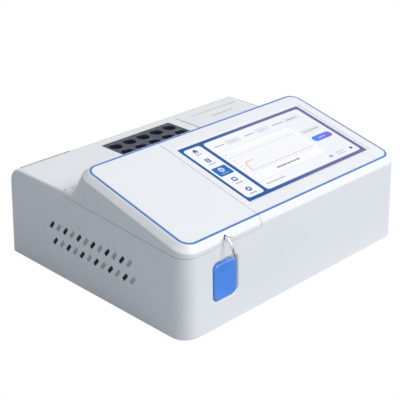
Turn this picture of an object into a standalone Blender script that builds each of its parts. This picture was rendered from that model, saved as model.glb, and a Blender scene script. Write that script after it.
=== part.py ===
"""Semi-automatic biochemistry analyzer, a bench unit with a sloping touch screen.

Metres, +Z up. The front faces -Y. The origin is on the bench, under the middle of the casing.
Most pieces are laid out in case_frame, whose origin is the middle of the casing's bottom edge.
"""

from math import asin, ceil, cos, degrees, pi, radians, sin, sqrt, tan

import bmesh
import bpy
from mathutils import Matrix, Vector

# General clearances
GAP = 0.0003
SEAM = 0.0005
OVERRUN = 0.003
RUNNING_GAP = 0.0006

# Facets
ROUND_SIDES = 24
SMALL_SIDES = 12
CORNER_STEPS = 5
SMOOTH_ANGLE = radians(32)

# Casing
FOOT_HEIGHT = 0.004
FOOT_RADIUS = 0.009
FOOT_INSET = 0.026
FOOT_TAPER_SHARE = 0.88
CASE_DEPTH = 0.2259
DECK_HEIGHT = 0.0837
WALL = 0.0025
DRAFT = radians(1.29)
FRONT_CORNER_RADIUS = 0.015
DECK_REAR_RADIUS = 0.014
DECK_SIDE_RADIUS = 0.0023
DECK_INNER_SHARE = 1.02
FLAT_ANGLE = radians(5)
POST_SIZE = 0.012
POST_HEIGHT = 0.028
BASE_THICKNESS = 0.002

# Sloping panel, measured to the middle of its stripe, and the soft band round it
PANEL_SLOPE = radians(13.37)
PANEL_SIDE_INSET = 0.0088
PANEL_FRONT_INSET = 0.00675
PANEL_FRONT_DROP = 0.0027
PANEL_RADIUS = 0.0095
BAND_DROP = 0.0058
BAND_REAR_INSET = 0.0066
BAND_SHARES = ((0.0, 1.0), (0.08, 0.82), (0.68, 0.125), (1.0, 0.0))
BACK_LEAN = radians(31.6)
BACK_RADIUS = 0.015
STRIPE_WIDTH = 0.0015
STRIPE_DEPTH = 0.0008

# Screen window and what lies under it, measured in the panel's own plane
SCREEN_HEIGHT = 0.0886
SCREEN_FROM_SEAM = 0.00835
SCREEN_FROM_SIDE = 0.0128
SCREEN_FROM_TOP = 0.0162
SCREEN_FROM_FRONT = 0.0163
SCREEN_BEVEL = 0.0031
GLASS_RECESS = 0.0009
LCD_OVERLAP = 0.0024
LCD_THICKNESS = 0.0054
LCD_FRAME = 0.0022
LCD_INSET = 0.0006
BRACKET_THICKNESS = 0.0012
BRACKET_MARGIN = 0.0035
BRACKET_WINDOW_INSET = 0.018
DISPLAY_BOSS_RADIUS = 0.003
DISPLAY_BOSS_INSET = 0.012
BOARD_THICKNESS = 0.0016
BOARD_STANDOFF = 0.0046
MAIN_BOARD_SIDE_INSET = 0.01965
MAIN_BOARD_END_INSET = 0.0103
MAIN_BOARD_PART_HEIGHT = 0.006
MAIN_BOARD_SHARES = (
    (0.12, 0.3, 0.16, 0.28, 0.4),
    (0.4, 0.35, 0.2, 0.32, 0.3),
    (0.7, 0.2, 0.12, 0.2, 0.6),
    (0.3, 0.86, 0.4, 0.08, 1.0),
)

# Left cover and its hinge
COVER_WIDTH = 0.0888
SEAM_FRONT_DROP = 0.0127
SEAM_CORNER_RADIUS = 0.002
HINGE_RADIUS = 0.002
COVER_HINGE_Y = 0.0345
PIN_RADIUS = 0.0008
EAR_INSET = 0.0062
EAR_WIDTH = 0.005
EAR_REACH = 0.006
PIN_BOSS_LENGTH = 0.0055
PIN_BOSS_DEPTH = 0.0028
PIN_CLEARANCE_SIDE = 0.0026
NEEDLE_SLOT_RADIUS = 0.0019

# Side vents: through slots with shallow ones between them
VENT_COUNT = 6
VENT_PITCH = 0.0182
VENT_FIRST_Y = 0.0523
VENT_UPPER_HEIGHT = 0.0467
VENT_LOWER_HEIGHT = 0.0324
VENT_ROW_SHIFT = 0.0039
VENT_LENGTH = 0.0088
VENT_SLOT_WIDTH = 0.0034
VENT_END_RADIUS = 0.0013
VENT_LEAN = radians(38.7)
VENT_RECESS = 0.0015

# Aspirate key in its dish on the front
KEY_FROM_SIDE = 0.0455
KEY_WIDTH = 0.0254
KEY_LOW = 0.024
KEY_HIGH = 0.0561
KEY_RADIUS = 0.005
KEY_THICKNESS = 0.003
KEY_PROUD = 0.0008
KEY_SOFT_EDGE = 0.0014
KEY_PIVOT_HEIGHT = 0.05
KEY_PIVOT_DEPTH = 0.0125
KEY_STEM_WIDTH = 0.009
KEY_STEM_HEIGHT = 0.008
KEY_POST_HEIGHT = 0.031
KEY_POST_RADIUS = 0.002
KEY_POST_DEPTH = 0.0118
DISH_SHIFT = 0.0008
DISH_WIDTH = 0.0329
DISH_LOW = 0.0226
DISH_HIGH = 0.0606
DISH_RADIUS = 0.0075
DISH_DEPTH = 0.0032
DISH_SIDE_DRAW = 0.002
DISH_TOP_DRAW = 0.003
DISH_BOTTOM_DRAW = 0.0008
DISH_STEM_CLEARANCE = 0.0016
SCOOP_WIDTH = 0.021
SCOOP_DEPTH = 0.002
SCOOP_FADE = 0.009
SCOOP_FADE_SHARES = (-0.3, 0.0, 0.2, 0.4, 0.6, 0.8, 0.93, 1.1)
KEY_BRACKET_SHEET = 0.0014
KEY_SWITCH_DEPTH = 0.0084
KEY_SWITCH_HEIGHT = 0.014
KEY_TRAVEL = 0.0006

# Suction needle
NEEDLE_SHIFT = 0.0019
NEEDLE_RADIUS = 0.0011
NEEDLE_ABOVE_SEAM = 0.0051
NEEDLE_BEND_Y = 0.1113
NEEDLE_REACH = 0.006
NEEDLE_KNEE_DROP = 0.0056
NEEDLE_TIP_REACH = 0.0083
NEEDLE_TIP_DROP = 0.0162
NEEDLE_TAIL = 0.0185
HOLDER_WIDTH = 0.01
HOLDER_FRONT = 0.0106
HOLDER_DEPTH = 0.0056
HOLDER_ABOVE = 0.0024
TUBE_RADIUS = 0.0012

# Incubator
INCUBATOR_FROM_COVER = 0.002
INCUBATOR_WIDTH = 0.0846
INCUBATOR_BACK = 0.0903
INCUBATOR_DEPTH = 0.0376
INCUBATOR_HEIGHT = 0.04
HOLE_COLUMNS = 5
HOLE_ROWS = 2
HOLE_PITCH = 0.017
HOLE_RADIUS = 0.0062
HOLE_DEPTH = 0.034
HEATER_THICKNESS = 0.0015
STAND_SHEET = 0.002
STAND_INSET = 0.003

# Printer
DOOR_FROM_INCUBATOR = 0.0139
DOOR_FROM_SIDE = 0.0055
DOOR_WIDTH = 0.083
DOOR_FRONT = 0.033
DOOR_LENGTH = 0.05305
DOOR_SHEET = 0.0025
PAPER_SHIFT = 0.0036
PAPER_SLIT_WIDTH = 0.062
PAPER_SLIT_EXTRA = 0.0008
GRIP_WIDTH = 0.03
GRIP_Y = 0.0739
GRIP_SLIT = 0.0014
GRIP_DEPTH = 0.0014
SIDE_SCOOP_LENGTH = 0.062
SIDE_SCOOP_WIDTH = 0.005
SIDE_SCOOP_DEPTH = 0.0007
TRAY_WALL = 0.0014
TRAY_FLOOR = 0.038
TRAY_BACK = 0.0972
TRAY_LEG = 0.008
ROLL_RADIUS = 0.0185
ROLL_WIDTH = 0.057
ROLL_Y = 0.0585
ROLL_HEIGHT = 0.0605
ROLL_BORE = 0.006
SPINDLE_OVERHANG = 0.006
CRADLE_THICKNESS = 0.003
PLATEN_RADIUS = 0.0042
PLATEN_AXLE = 0.0015
PLATEN_Y = 0.081
PLATEN_DROP = 0.0092
PLATEN_EAR = 0.003
HEAD_THICKNESS = 0.005
HEAD_HEIGHT = 0.016
HEAD_WIDTH = 0.06

# Rear plate with its sockets, measured up the rear wall
REAR_PLATE_FROM_SIDE = 0.0139
REAR_PLATE_DROP = 0.0057
REAR_PLATE_SHEET = 0.0014
REAR_WINDOW_SIDE = 0.0035
REAR_WINDOW_END = 0.0055
SCREW_INSET = 0.0029
SCREW_RADIUS = 0.0021
SCREW_SHANK = 0.0011
SCREW_HEAD = 0.0013
SCREW_LENGTH = 0.0045
SCREW_CROWN_SHARE = 0.7
FLANGE = 0.0015
FLANGE_RIM = 0.0018
INLET_WIDTH = 0.0275
INLET_HEIGHT = 0.02
INLET_DEPTH = 0.019
INLET_SOCKET_WIDTH = 0.024
INLET_SOCKET_HEIGHT = 0.0165
INLET_SOCKET_DEPTH = 0.015
BLADE_LENGTH = 0.011
BLADE_WIDTH = 0.004
BLADE_THICKNESS = 0.002
BLADE_PITCH = 0.007
SWITCH_WIDTH = 0.0135
SWITCH_HEIGHT = 0.02
SWITCH_DEPTH = 0.014
ROCKER_TILT = radians(7)
ROCKER_PROUD = 0.0022
USB_WIDTH = 0.0125
USB_HEIGHT = 0.0115
USB_DEPTH = 0.014
SERIAL_WIDTH = 0.031
SERIAL_HEIGHT = 0.0125
SERIAL_DEPTH = 0.01
SERIAL_SHELL_WIDTH = 0.017
SERIAL_SHELL_HEIGHT = 0.0085
SERIAL_SHELL_PROUD = 0.0032
SOCKET_MARGIN = 0.0075
SOCKET_TOP_MARGIN = 0.0085
SOCKET_SIDE_MARGIN = 0.0028
SOCKET_SPACING = 0.0078
SOCKET_ROW_SPACING = 0.0023
SHELL_SHARE = 0.86
BARB_SHARE = 0.75
BLADE_SHARES = ((-1.0, -0.3), (0.0, 0.3), (1.0, -0.3))
WASTE_SPIGOT = 0.002
WASTE_FROM_PLATE = 0.0135
WASTE_HEIGHT = 0.03
WASTE_RADIUS = 0.0024
WASTE_BORE = 0.0012
WASTE_FLANGE_RADIUS = 0.005
WASTE_LENGTH = 0.009

# Fan
FAN_HEIGHT = 0.0392
FAN_SIZE = 0.06
FAN_THICKNESS = 0.015
FAN_BORE_RADIUS = 0.0275
FAN_HUB_RADIUS = 0.0125
FAN_BLADE_RADIUS = 0.0262
FAN_BLADES = 7
FAN_BLADE_PITCH = radians(38)
FAN_BLADE_CHORD = 0.0125
FAN_BLADE_SHEET = 0.0011
FAN_STRUT = 0.003
GRILLE_SLOT = 0.0036
GRILLE_PITCH = 0.0072
GRILLE_RADIUS = 0.0262

# Boards and supply on the base plate
SUPPLY_FROM_SIDE = 0.0149
SUPPLY_Y = 0.07
SUPPLY_WIDTH = 0.068
SUPPLY_LENGTH = 0.052
CONTROL_FROM_SIDE = 0.0219
CONTROL_Y = -0.04
CONTROL_WIDTH = 0.11
CONTROL_LENGTH = 0.08
SUPPLY_PART_HEIGHT = 0.026
CONTROL_PART_HEIGHT = 0.009
SUPPLY_SHARES = (
    (0.08, 0.15, 0.34, 0.44, 0.9),
    (0.5, 0.12, 0.2, 0.26, 1.0),
    (0.76, 0.12, 0.16, 0.3, 0.7),
    (0.5, 0.5, 0.4, 0.08, 1.0),
    (0.12, 0.72, 0.3, 0.16, 0.4),
)
CONTROL_SHARES = (
    (0.1, 0.2, 0.2, 0.26, 0.3),
    (0.42, 0.3, 0.24, 0.33, 0.25),
    (0.76, 0.16, 0.1, 0.5, 0.5),
    (0.15, 0.84, 0.6, 0.1, 1.0),
)
STANDOFF_HEIGHT = 0.005
STANDOFF_RADIUS = 0.0028

# Fluid bay under the left cover
BAY_FLOOR = 0.052
BAY_SHELF = 0.064
BAY_SHELF_Y = -0.084
BAY_REAR = 0.03
BAY_WALL = 0.0016
BAY_LIP = 0.002
BAY_LEG_RADIUS = 0.0035
BAY_LEG_INSET = 0.009

# Peristaltic pump
PUMP_FROM_SEAM = 0.02615
PUMP_Y = -0.0012
PUMP_SIZE = 0.04
PUMP_HEIGHT = 0.016
PUMP_CAVITY_RADIUS = 0.016
PUMP_ROTOR_RADIUS = 0.0125
PUMP_ROLLER_RADIUS = 0.0032
PUMP_ROLLERS = 3
PUMP_DISC = 0.0016
PUMP_MOTOR_RADIUS = 0.0135
PUMP_MOTOR_LENGTH = 0.03
PUMP_SHAFT_RADIUS = 0.002
PUMP_TUBE_RADIUS = 0.0013
PUMP_TUBE_LEAD = 0.006
DRAIN_SIDE = 0.0036
DRAIN_BEND = 0.0045
DRAIN_FLOOR_POINT = 4

# Optical bench: lamp, filter wheel, flow cell and detector along one beam
BEAM_Y = -0.058
BEAM_HEIGHT = 0.0655
LAMP_FROM_SIDE = 0.0109
LAMP_LENGTH = 0.024
LAMP_WIDTH = 0.024
LAMP_TALL = 0.024
LAMP_BORE = 0.007
LAMP_RADIUS = 0.0045
LAMP_REACH = 0.015
LAMP_FINS = 4
LAMP_SLOT = 0.0011
WHEEL_FROM_LAMP = 0.0295
WHEEL_RADIUS = 0.0155
WHEEL_SHEET = 0.003
WHEEL_FILTERS = 7
WHEEL_FILTER_RADIUS = 0.0032
WHEEL_FILTER_SHARE = 0.7
WHEEL_ANGLE = radians(45)
WHEEL_SHAFT_RADIUS = 0.0015
FILTER_MOTOR_RADIUS = 0.0075
CELL_FROM_WHEEL = 0.017
CELL_WIDTH = 0.016
CELL_LENGTH = 0.024
CELL_TALL = 0.022
CELL_RADIUS = 0.004
CELL_STAND_OUT = 0.003
CELL_PORT_SPACING = 0.0036
TUBE_RISE = 0.0035
BEAM_BORE = 0.0025
DETECTOR_FROM_CELL = 0.0135
DETECTOR_SIZE = 0.026
DETECTOR_CAN_RADIUS = 0.004
DETECTOR_CAN_LENGTH = 0.003

# Derived places: the case is as wide as the cover, the incubator and the printer door side by side
INCUBATOR_LEFT = COVER_WIDTH + INCUBATOR_FROM_COVER
CASE_WIDTH = INCUBATOR_LEFT + INCUBATOR_WIDTH + DOOR_FROM_INCUBATOR + DOOR_WIDTH + DOOR_FROM_SIDE
HALF_WIDTH = CASE_WIDTH / 2
PANEL_LENGTH = SCREEN_FROM_FRONT + SCREEN_HEIGHT + SCREEN_FROM_TOP
PANEL_FRONT_HEIGHT = DECK_HEIGHT - PANEL_FRONT_DROP
SEAM_FRONT_HEIGHT = DECK_HEIGHT - SEAM_FRONT_DROP
NEEDLE_HEIGHT = SEAM_FRONT_HEIGHT + NEEDLE_ABOVE_SEAM
HALF_DEPTH = CASE_DEPTH / 2
PANEL_HALF_WIDTH = HALF_WIDTH - PANEL_SIDE_INSET
PANEL_FRONT = PANEL_FRONT_INSET - HALF_DEPTH
PANEL_REAR = PANEL_FRONT + PANEL_LENGTH * cos(PANEL_SLOPE)
PANEL_REAR_HEIGHT = PANEL_FRONT_HEIGHT + PANEL_LENGTH * sin(PANEL_SLOPE)
BAND_REAR = PANEL_REAR + BAND_REAR_INSET
BAND_REAR_HEIGHT = PANEL_REAR_HEIGHT + BAND_REAR_INSET * tan(PANEL_SLOPE) - BAND_DROP
WEDGE_TOP = PANEL_REAR_HEIGHT + BAND_REAR_INSET
COVER_EDGE = COVER_WIDTH - HALF_WIDTH - SEAM / 2
HINGE_HEIGHT = DECK_HEIGHT - HINGE_RADIUS
FLOOR_LEVEL = GAP + BASE_THICKNESS + GAP
SCREEN_REAR = PANEL_LENGTH - SCREEN_FROM_TOP
SCREEN_FRONT = SCREEN_REAR - SCREEN_HEIGHT
SCREEN_LEFT = COVER_EDGE + SCREEN_FROM_SEAM
SCREEN_RIGHT = PANEL_HALF_WIDTH - SCREEN_FROM_SIDE
LCD_TOP = -WALL - GAP
BRACKET_TOP = LCD_TOP - LCD_THICKNESS - GAP
BOARD_TOP = BRACKET_TOP - BRACKET_THICKNESS - BOARD_STANDOFF - GAP
DOOR_RIGHT = HALF_WIDTH - DOOR_FROM_SIDE
DOOR_LEFT = DOOR_RIGHT - DOOR_WIDTH
PRINTER_X = (DOOR_LEFT + DOOR_RIGHT) / 2
PAPER_X = PRINTER_X + PAPER_SHIFT
INCUBATOR_X = INCUBATOR_LEFT + INCUBATOR_WIDTH / 2 - HALF_WIDTH
KEY_X = KEY_FROM_SIDE - HALF_WIDTH
DISH_X = KEY_X + DISH_SHIFT
NEEDLE_X = KEY_X + NEEDLE_SHIFT
PUMP_X = COVER_EDGE - PUMP_FROM_SEAM
LAMP_X = LAMP_FROM_SIDE - HALF_WIDTH
WHEEL_X = LAMP_X + WHEEL_FROM_LAMP
CELL_X = WHEEL_X + CELL_FROM_WHEEL
DETECTOR_X = CELL_X + DETECTOR_FROM_CELL
SOCKET_EDGE = SOCKET_SIDE_MARGIN + FLANGE_RIM
REAR_PLATE_WIDTH = SOCKET_EDGE * 2 + INLET_WIDTH + SOCKET_SPACING + SWITCH_WIDTH
REAR_PLATE_RIMS = SOCKET_TOP_MARGIN + SOCKET_ROW_SPACING + SOCKET_MARGIN + FLANGE_RIM * 4
REAR_PLATE_HEIGHT = REAR_PLATE_RIMS + INLET_HEIGHT + SERIAL_HEIGHT
REAR_PLATE_TOP = DECK_HEIGHT - REAR_PLATE_DROP
REAR_PLATE_X = REAR_PLATE_FROM_SIDE + REAR_PLATE_WIDTH / 2 - HALF_WIDTH
WASTE_X = REAR_PLATE_X + REAR_PLATE_WIDTH / 2 + WASTE_FROM_PLATE
FAN_X = INCUBATOR_X
SUPPLY_X = SUPPLY_FROM_SIDE + SUPPLY_WIDTH / 2 - HALF_WIDTH
CONTROL_X = HALF_WIDTH - CONTROL_FROM_SIDE - CONTROL_WIDTH / 2
DOOR_HINGE_Y = DOOR_FRONT + HINGE_RADIUS
DOOR_REAR = DOOR_FRONT + DOOR_LENGTH
INCUBATOR_FLOOR = DECK_HEIGHT - INCUBATOR_HEIGHT

PARTS = bpy.data.collections.new("biochemistry_analyzer")
CUTTERS = bpy.data.collections.new("cutters")


def start_scene():
    """Empties the scene and adds the two collections."""
    for old in list(bpy.data.objects):
        bpy.data.objects.remove(old, do_unlink=True)
    bpy.context.scene.collection.children.link(PARTS)
    bpy.context.scene.collection.children.link(CUTTERS)


def material(name, colour, roughness, metallic=0.0):
    """A plain Principled material."""
    made = bpy.data.materials.new(name)
    made.use_nodes = True
    shader = made.node_tree.nodes["Principled BSDF"]
    shader.inputs["Base Color"].default_value = (*colour, 1.0)
    shader.inputs["Roughness"].default_value = roughness
    shader.inputs["Metallic"].default_value = metallic
    return made


def empty(name, location, rotation, parent):
    """An empty that places what is parented to it."""
    made = bpy.data.objects.new(name, None)
    made.location = location
    made.rotation_euler = rotation
    made.parent = parent
    PARTS.objects.link(made)
    return made


# Shape helpers: each returns a working object in the cutters collection


def working_object(mesh, frame):
    made = bpy.data.objects.new(mesh.name, mesh)
    made.hide_render = True
    made.display_type = "WIRE"
    made.parent = frame
    CUTTERS.objects.link(made)
    return made


def from_bmesh(shape, frame):
    """Turns a bmesh into a working object with its faces pointing out."""
    bmesh.ops.recalc_face_normals(shape, faces=shape.faces)
    mesh = bpy.data.meshes.new("shape")
    shape.to_mesh(mesh)
    shape.free()
    return working_object(mesh, frame)


def box(low, high, frame):
    """A block between two corners."""
    low, high = Vector(low), Vector(high)
    shape = bmesh.new()
    bmesh.ops.create_cube(shape, size=1)
    bmesh.ops.scale(shape, vec=high - low, verts=shape.verts)
    bmesh.ops.translate(shape, vec=(low + high) / 2, verts=shape.verts)
    return from_bmesh(shape, frame)


def rod(start, end, radius, frame, sides=ROUND_SIDES, end_radius=None):
    """A cylinder or cone between two points."""
    start, end = Vector(start), Vector(end)
    turn = (end - start).to_track_quat("Z", "Y").to_matrix().to_4x4()
    place = Matrix.Translation((start + end) / 2) @ turn
    shape = bmesh.new()
    bmesh.ops.create_cone(
        shape,
        cap_ends=True,
        segments=sides,
        radius1=radius,
        radius2=radius if end_radius is None else end_radius,
        depth=(end - start).length,
        matrix=place,
    )
    return from_bmesh(shape, frame)


def mesh_of(source):
    """The evaluated mesh of an object, with doubled points welded."""
    bpy.context.view_layer.update()
    graph = bpy.context.evaluated_depsgraph_get()
    mesh = bpy.data.meshes.new_from_object(source.evaluated_get(graph))
    shape = bmesh.new()
    shape.from_mesh(mesh)
    bmesh.ops.remove_doubles(shape, verts=shape.verts, dist=GAP / 100)
    bmesh.ops.recalc_face_normals(shape, faces=shape.faces)
    shape.to_mesh(mesh)
    shape.free()
    return mesh


def curve_object(loops, closed):
    """A curve of straight runs through each list of points."""
    curve = bpy.data.curves.new("outline", "CURVE")
    for loop in loops:
        spline = curve.splines.new("POLY")
        spline.points.add(len(loop) - 1)
        for point, place in zip(spline.points, loop):
            point.co = (*place, 1.0)
        spline.use_cyclic_u = closed
    made = bpy.data.objects.new("outline", curve)
    CUTTERS.objects.link(made)
    return made


def slab(loops, axis, low, high, frame):
    """Flat outlines pushed along one axis from low to high; inner outlines are holes."""
    source = curve_object([[(u, v, 0.0) for u, v in loop] for loop in loops], True)
    source.data.dimensions = "2D"
    source.data.fill_mode = "BOTH"
    source.data.extrude = (high - low) / 2
    mesh = mesh_of(source)
    bpy.data.objects.remove(source)
    middle = (low + high) / 2
    turns = {
        "X": Matrix(((0, 0, 1), (1, 0, 0), (0, 1, 0))),
        "Y": Matrix(((1, 0, 0), (0, 0, -1), (0, 1, 0))),
        "Z": Matrix.Identity(3),
    }
    shift = {"X": (middle, 0, 0), "Y": (0, middle, 0), "Z": (0, 0, middle)}
    mesh.transform(Matrix.Translation(shift[axis]) @ turns[axis].to_4x4())
    return working_object(mesh, frame)


def arc(centre, radius, start, end, steps):
    """Points along an arc, both ends included."""
    angles = [start + (end - start) * step / steps for step in range(steps + 1)]
    return [(centre[0] + radius * cos(a), centre[1] + radius * sin(a)) for a in angles]


def rounded(low, high, radius, steps=CORNER_STEPS):
    """A rounded rectangle between two corners, counter-clockwise."""
    (x0, y0), (x1, y1) = low, high
    corners = (
        ((x1 - radius, y1 - radius), 0.0),
        ((x0 + radius, y1 - radius), pi / 2),
        ((x0 + radius, y0 + radius), pi),
        ((x1 - radius, y0 + radius), pi * 3 / 2),
    )
    points = []
    for centre, start in corners:
        points += arc(centre, radius, start, start + pi / 2, steps)
    return points


def loft(rings, frame):
    """A closed skin over rings with the same number of points."""
    shape = bmesh.new()
    rows = [[shape.verts.new(point) for point in ring] for ring in rings]
    count = len(rows[0])
    for below, above in zip(rows, rows[1:]):
        for i in range(count):
            j = (i + 1) % count
            shape.faces.new((below[i], below[j], above[j], above[i]))
    shape.faces.new(rows[0][::-1])
    shape.faces.new(rows[-1])
    return from_bmesh(shape, frame)


def turned(profile, steps, place, frame):
    """A profile of (radius, height) points, top to bottom, turned about its Z axis."""
    mesh = bpy.data.meshes.new("profile")
    points = [(radius, 0.0, height) for radius, height in profile]
    mesh.from_pydata(points, [(i, i + 1) for i in range(len(points) - 1)], [])
    source = bpy.data.objects.new("profile", mesh)
    CUTTERS.objects.link(source)
    screw = source.modifiers.new("turn", "SCREW")
    screw.steps = steps
    screw.render_steps = steps
    screw.use_merge_vertices = True
    screw.merge_threshold = GAP / 100
    made = mesh_of(source)
    bpy.data.objects.remove(source)
    made.transform(place)
    return working_object(made, frame)


def smooth_path(points, pieces):
    """Points along a smooth curve through the points given."""
    spots = [Vector(point) for point in points]
    spots = [2 * spots[0] - spots[1], *spots, 2 * spots[-1] - spots[-2]]
    path = []
    for before, start, end, after in zip(spots, spots[1:], spots[2:], spots[3:]):
        for step in range(pieces):
            t = step / pieces
            path.append(
                start
                + (end - before) / 2 * t
                + (before - start * 5 / 2 + end * 2 - after / 2) * t**2
                + ((start - end) * 3 / 2 + (after - before) / 2) * t**3
            )
    path.append(spots[-2])
    return path


def tube(points, radius, pieces, frame):
    """A round tube along a smooth curve through the points."""
    source = curve_object([smooth_path(points, pieces)], False)
    source.data.dimensions = "3D"
    source.data.bevel_depth = radius
    source.data.bevel_resolution = 2
    source.data.use_fill_caps = True
    mesh = mesh_of(source)
    bpy.data.objects.remove(source)
    return working_object(mesh, frame)


def bevel(shape, chosen, width, segments, profile=0.5):
    """Bevels the sharp edges of a working object that chosen() picks."""
    body = bmesh.new()
    body.from_mesh(shape.data)
    sharp = [edge for edge in body.edges if edge.calc_face_angle(0.0) > FLAT_ANGLE]
    edges = [edge for edge in sharp if chosen(edge)]
    bmesh.ops.bevel(
        body,
        geom=edges,
        offset=width,
        offset_type="OFFSET",
        segments=segments,
        profile=profile,
        affect="EDGES",
    )
    body.to_mesh(shape.data)
    body.free()
    return shape


def combine(target, tool, operation):
    """Applies one Boolean and removes the tool."""
    modifier = target.modifiers.new("combine", "BOOLEAN")
    modifier.operation = operation
    modifier.solver = "EXACT"
    modifier.object = tool
    bpy.context.view_layer.update()
    graph = bpy.context.evaluated_depsgraph_get()
    mesh = bpy.data.meshes.new_from_object(target.evaluated_get(graph))
    target.modifiers.clear()
    target.data = mesh
    bpy.data.objects.remove(tool)
    return target


def cut(target, *tools):
    for tool in tools:
        combine(target, tool, "DIFFERENCE")
    return target


def join(target, *tools):
    for tool in tools:
        combine(target, tool, "UNION")
    return target


def keep(target, tool):
    return combine(target, tool, "INTERSECT")


def copy_of(shape):
    """A second working object with the same mesh."""
    return working_object(shape.data.copy(), shape.parent)


def gather(shapes):
    """Makes one working object of shapes in one frame that do not meet."""
    body = bmesh.new()
    for shape in shapes:
        body.from_mesh(shape.data)
    frame = shapes[0].parent
    for shape in shapes:
        bpy.data.objects.remove(shape)
    return from_bmesh(body, frame)


def finish(shape, name, look, pivot=None):
    """Names a piece, gives it its material and hangs it on its pivot, if it has one."""
    if pivot:
        bpy.context.view_layer.update()
        shape.data.transform(pivot.matrix_world.inverted() @ shape.matrix_world)
        shape.parent = pivot
    shape.name = name
    shape.data.name = name
    shape.data.materials.clear()
    shape.data.materials.append(look)
    shape.data.shade_smooth()
    shape.data.set_sharp_from_angle(angle=SMOOTH_ANGLE)
    shape.hide_render = False
    shape.display_type = "TEXTURED"
    CUTTERS.objects.unlink(shape)
    PARTS.objects.link(shape)
    return shape


# Volumes of the casing


def half_width_at(height):
    return HALF_WIDTH - height * tan(DRAFT)


def front_at(height):
    return height * tan(DRAFT) - HALF_DEPTH


def rear_at(height):
    return HALF_DEPTH - height * tan(DRAFT)


def panel_height(y):
    return PANEL_FRONT_HEIGHT + (y - PANEL_FRONT) * tan(PANEL_SLOPE)


def back_at(height):
    """Where the raised part's leaning back wall is at a height."""
    return BAND_REAR - (height - BAND_REAR_HEIGHT) * tan(BACK_LEAN)


def wedge_outline(height, inset):
    """The raised part's plan at a height, drawn in by a wall."""
    side = half_width_at(height) - inset
    rear = back_at(height) - inset / cos(BACK_LEAN)
    return rounded((-side, front_at(height) + inset), (side, rear), FRONT_CORNER_RADIUS - inset)


def wedge_volume(inset, bottom, frame):
    """The raised part with the sloping panel: drafted walls, soft band and flat panel."""
    lower = wedge_outline(0.0, inset)
    upper = wedge_outline(WEDGE_TOP, inset)
    sink = inset / cos(PANEL_SLOPE)
    slope = tan(PANEL_SLOPE)

    def wall_point(low, high, drop):
        run = high[1] - low[1]
        start = panel_height(low[1]) - sink - drop
        share = start / (WEDGE_TOP - slope * run)
        return Vector((*(Vector(low) * (1 - share) + Vector(high) * share), share * WEDGE_TOP))

    side = PANEL_HALF_WIDTH - inset / 2
    edge = rounded(
        (-side, PANEL_FRONT + inset / 2),
        (side, PANEL_REAR - inset / 2),
        PANEL_RADIUS,
    )
    walls = [wall_point(a, b, BAND_DROP) for a, b in zip(lower, upper)]
    rings = [
        [
            Vector((*(Vector(a) * (1 - bottom / WEDGE_TOP) + Vector(b) * bottom / WEDGE_TOP), bottom))
            for a, b in zip(lower, upper)
        ]
    ]
    for inward, fall in BAND_SHARES:
        ring = []
        for wall, inner in zip(walls, edge):
            x = wall.x + (inner[0] - wall.x) * inward
            y = wall.y + (inner[1] - wall.y) * inward
            ring.append(Vector((x, y, panel_height(y) - sink - BAND_DROP * fall)))
        rings.append(ring)
    return loft(rings, frame)


def deck_volume(inset, bottom, frame):
    """The low rear part: drafted walls, a large rear edge and small side edges."""
    shape = bmesh.new()
    bmesh.ops.create_cube(shape, size=1)
    top = DECK_HEIGHT - inset
    for vertex in shape.verts:
        height = top if vertex.co.z > 0 else bottom
        side = half_width_at(height) - inset * DECK_INNER_SHARE
        vertex.co.x = side if vertex.co.x > 0 else -side
        vertex.co.y = rear_at(height) - inset if vertex.co.y > 0 else 0.0
        vertex.co.z = height
    body = from_bmesh(shape, frame)

    def rear_top(edge):
        return all(v.co.z > top - GAP and v.co.y > GAP for v in edge.verts)

    def side_chain(edge):
        sideways = [abs(face.normal.x) > cos(DRAFT) - GAP for face in edge.link_faces]
        raised = all(v.co.y > GAP or v.co.z > top - GAP for v in edge.verts)
        low = all(v.co.z < bottom + GAP for v in edge.verts)
        return sum(sideways) == 1 and raised and not low and any(v.co.y > GAP for v in edge.verts)

    bevel(body, rear_top, DECK_REAR_RADIUS - inset, CORNER_STEPS)
    if not inset:
        bevel(body, side_chain, DECK_SIDE_RADIUS, 2)
    return body


def hull(inset, bottom, frame):
    """Everything inside the casing's outer skin, drawn in by a wall."""
    return join(wedge_volume(inset, bottom, frame), deck_volume(inset, bottom, frame))


def seam_height(y):
    """The cover's lower edge, which rises from the front to the hinge."""
    rise = HINGE_HEIGHT - HINGE_RADIUS - SEAM_FRONT_HEIGHT
    return SEAM_FRONT_HEIGHT + (y + HALF_DEPTH) * rise / (COVER_HINGE_Y + HALF_DEPTH)


# Casing, its cover and what is cut through them


def cover_region(gap, frame):
    """The space of the left cover: ahead of a round hinge edge and above a rising seam."""
    front = -HALF_DEPTH - OVERRUN
    top = WEDGE_TOP + OVERRUN
    reach = HINGE_RADIUS + gap
    last = 0.0 if gap else pi / 2
    outline = [(front, seam_height(front) - gap)]
    outline += arc((COVER_HINGE_Y, HINGE_HEIGHT), reach, -pi / 2, last, CORNER_STEPS + 1)
    outline += [(outline[-1][0], top), (front, top)]
    edge = COVER_EDGE + gap
    region = slab([outline], "X", -HALF_WIDTH - OVERRUN, edge, frame)

    def corner(line):
        right = all(v.co.x > edge - GAP for v in line.verts)
        long = abs(line.verts[0].co.y - line.verts[1].co.y) > HALF_DEPTH
        low = all(v.co.z < DECK_HEIGHT for v in line.verts)
        return right and long and low

    return bevel(region, corner, SEAM_CORNER_RADIUS, 3)


def corner_posts(frame):
    """Four posts in the casing's corners that the base plate is screwed to."""
    posts = []
    for side in (-1, 1):
        for end in (-1, 1):
            x = sorted((side * HALF_WIDTH, side * (HALF_WIDTH - POST_SIZE)))
            y = sorted((end * HALF_DEPTH, end * (HALF_DEPTH - POST_SIZE)))
            posts.append(box((x[0], y[0], FLOOR_LEVEL), (x[1], y[1], POST_HEIGHT), frame))
    return posts


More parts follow.
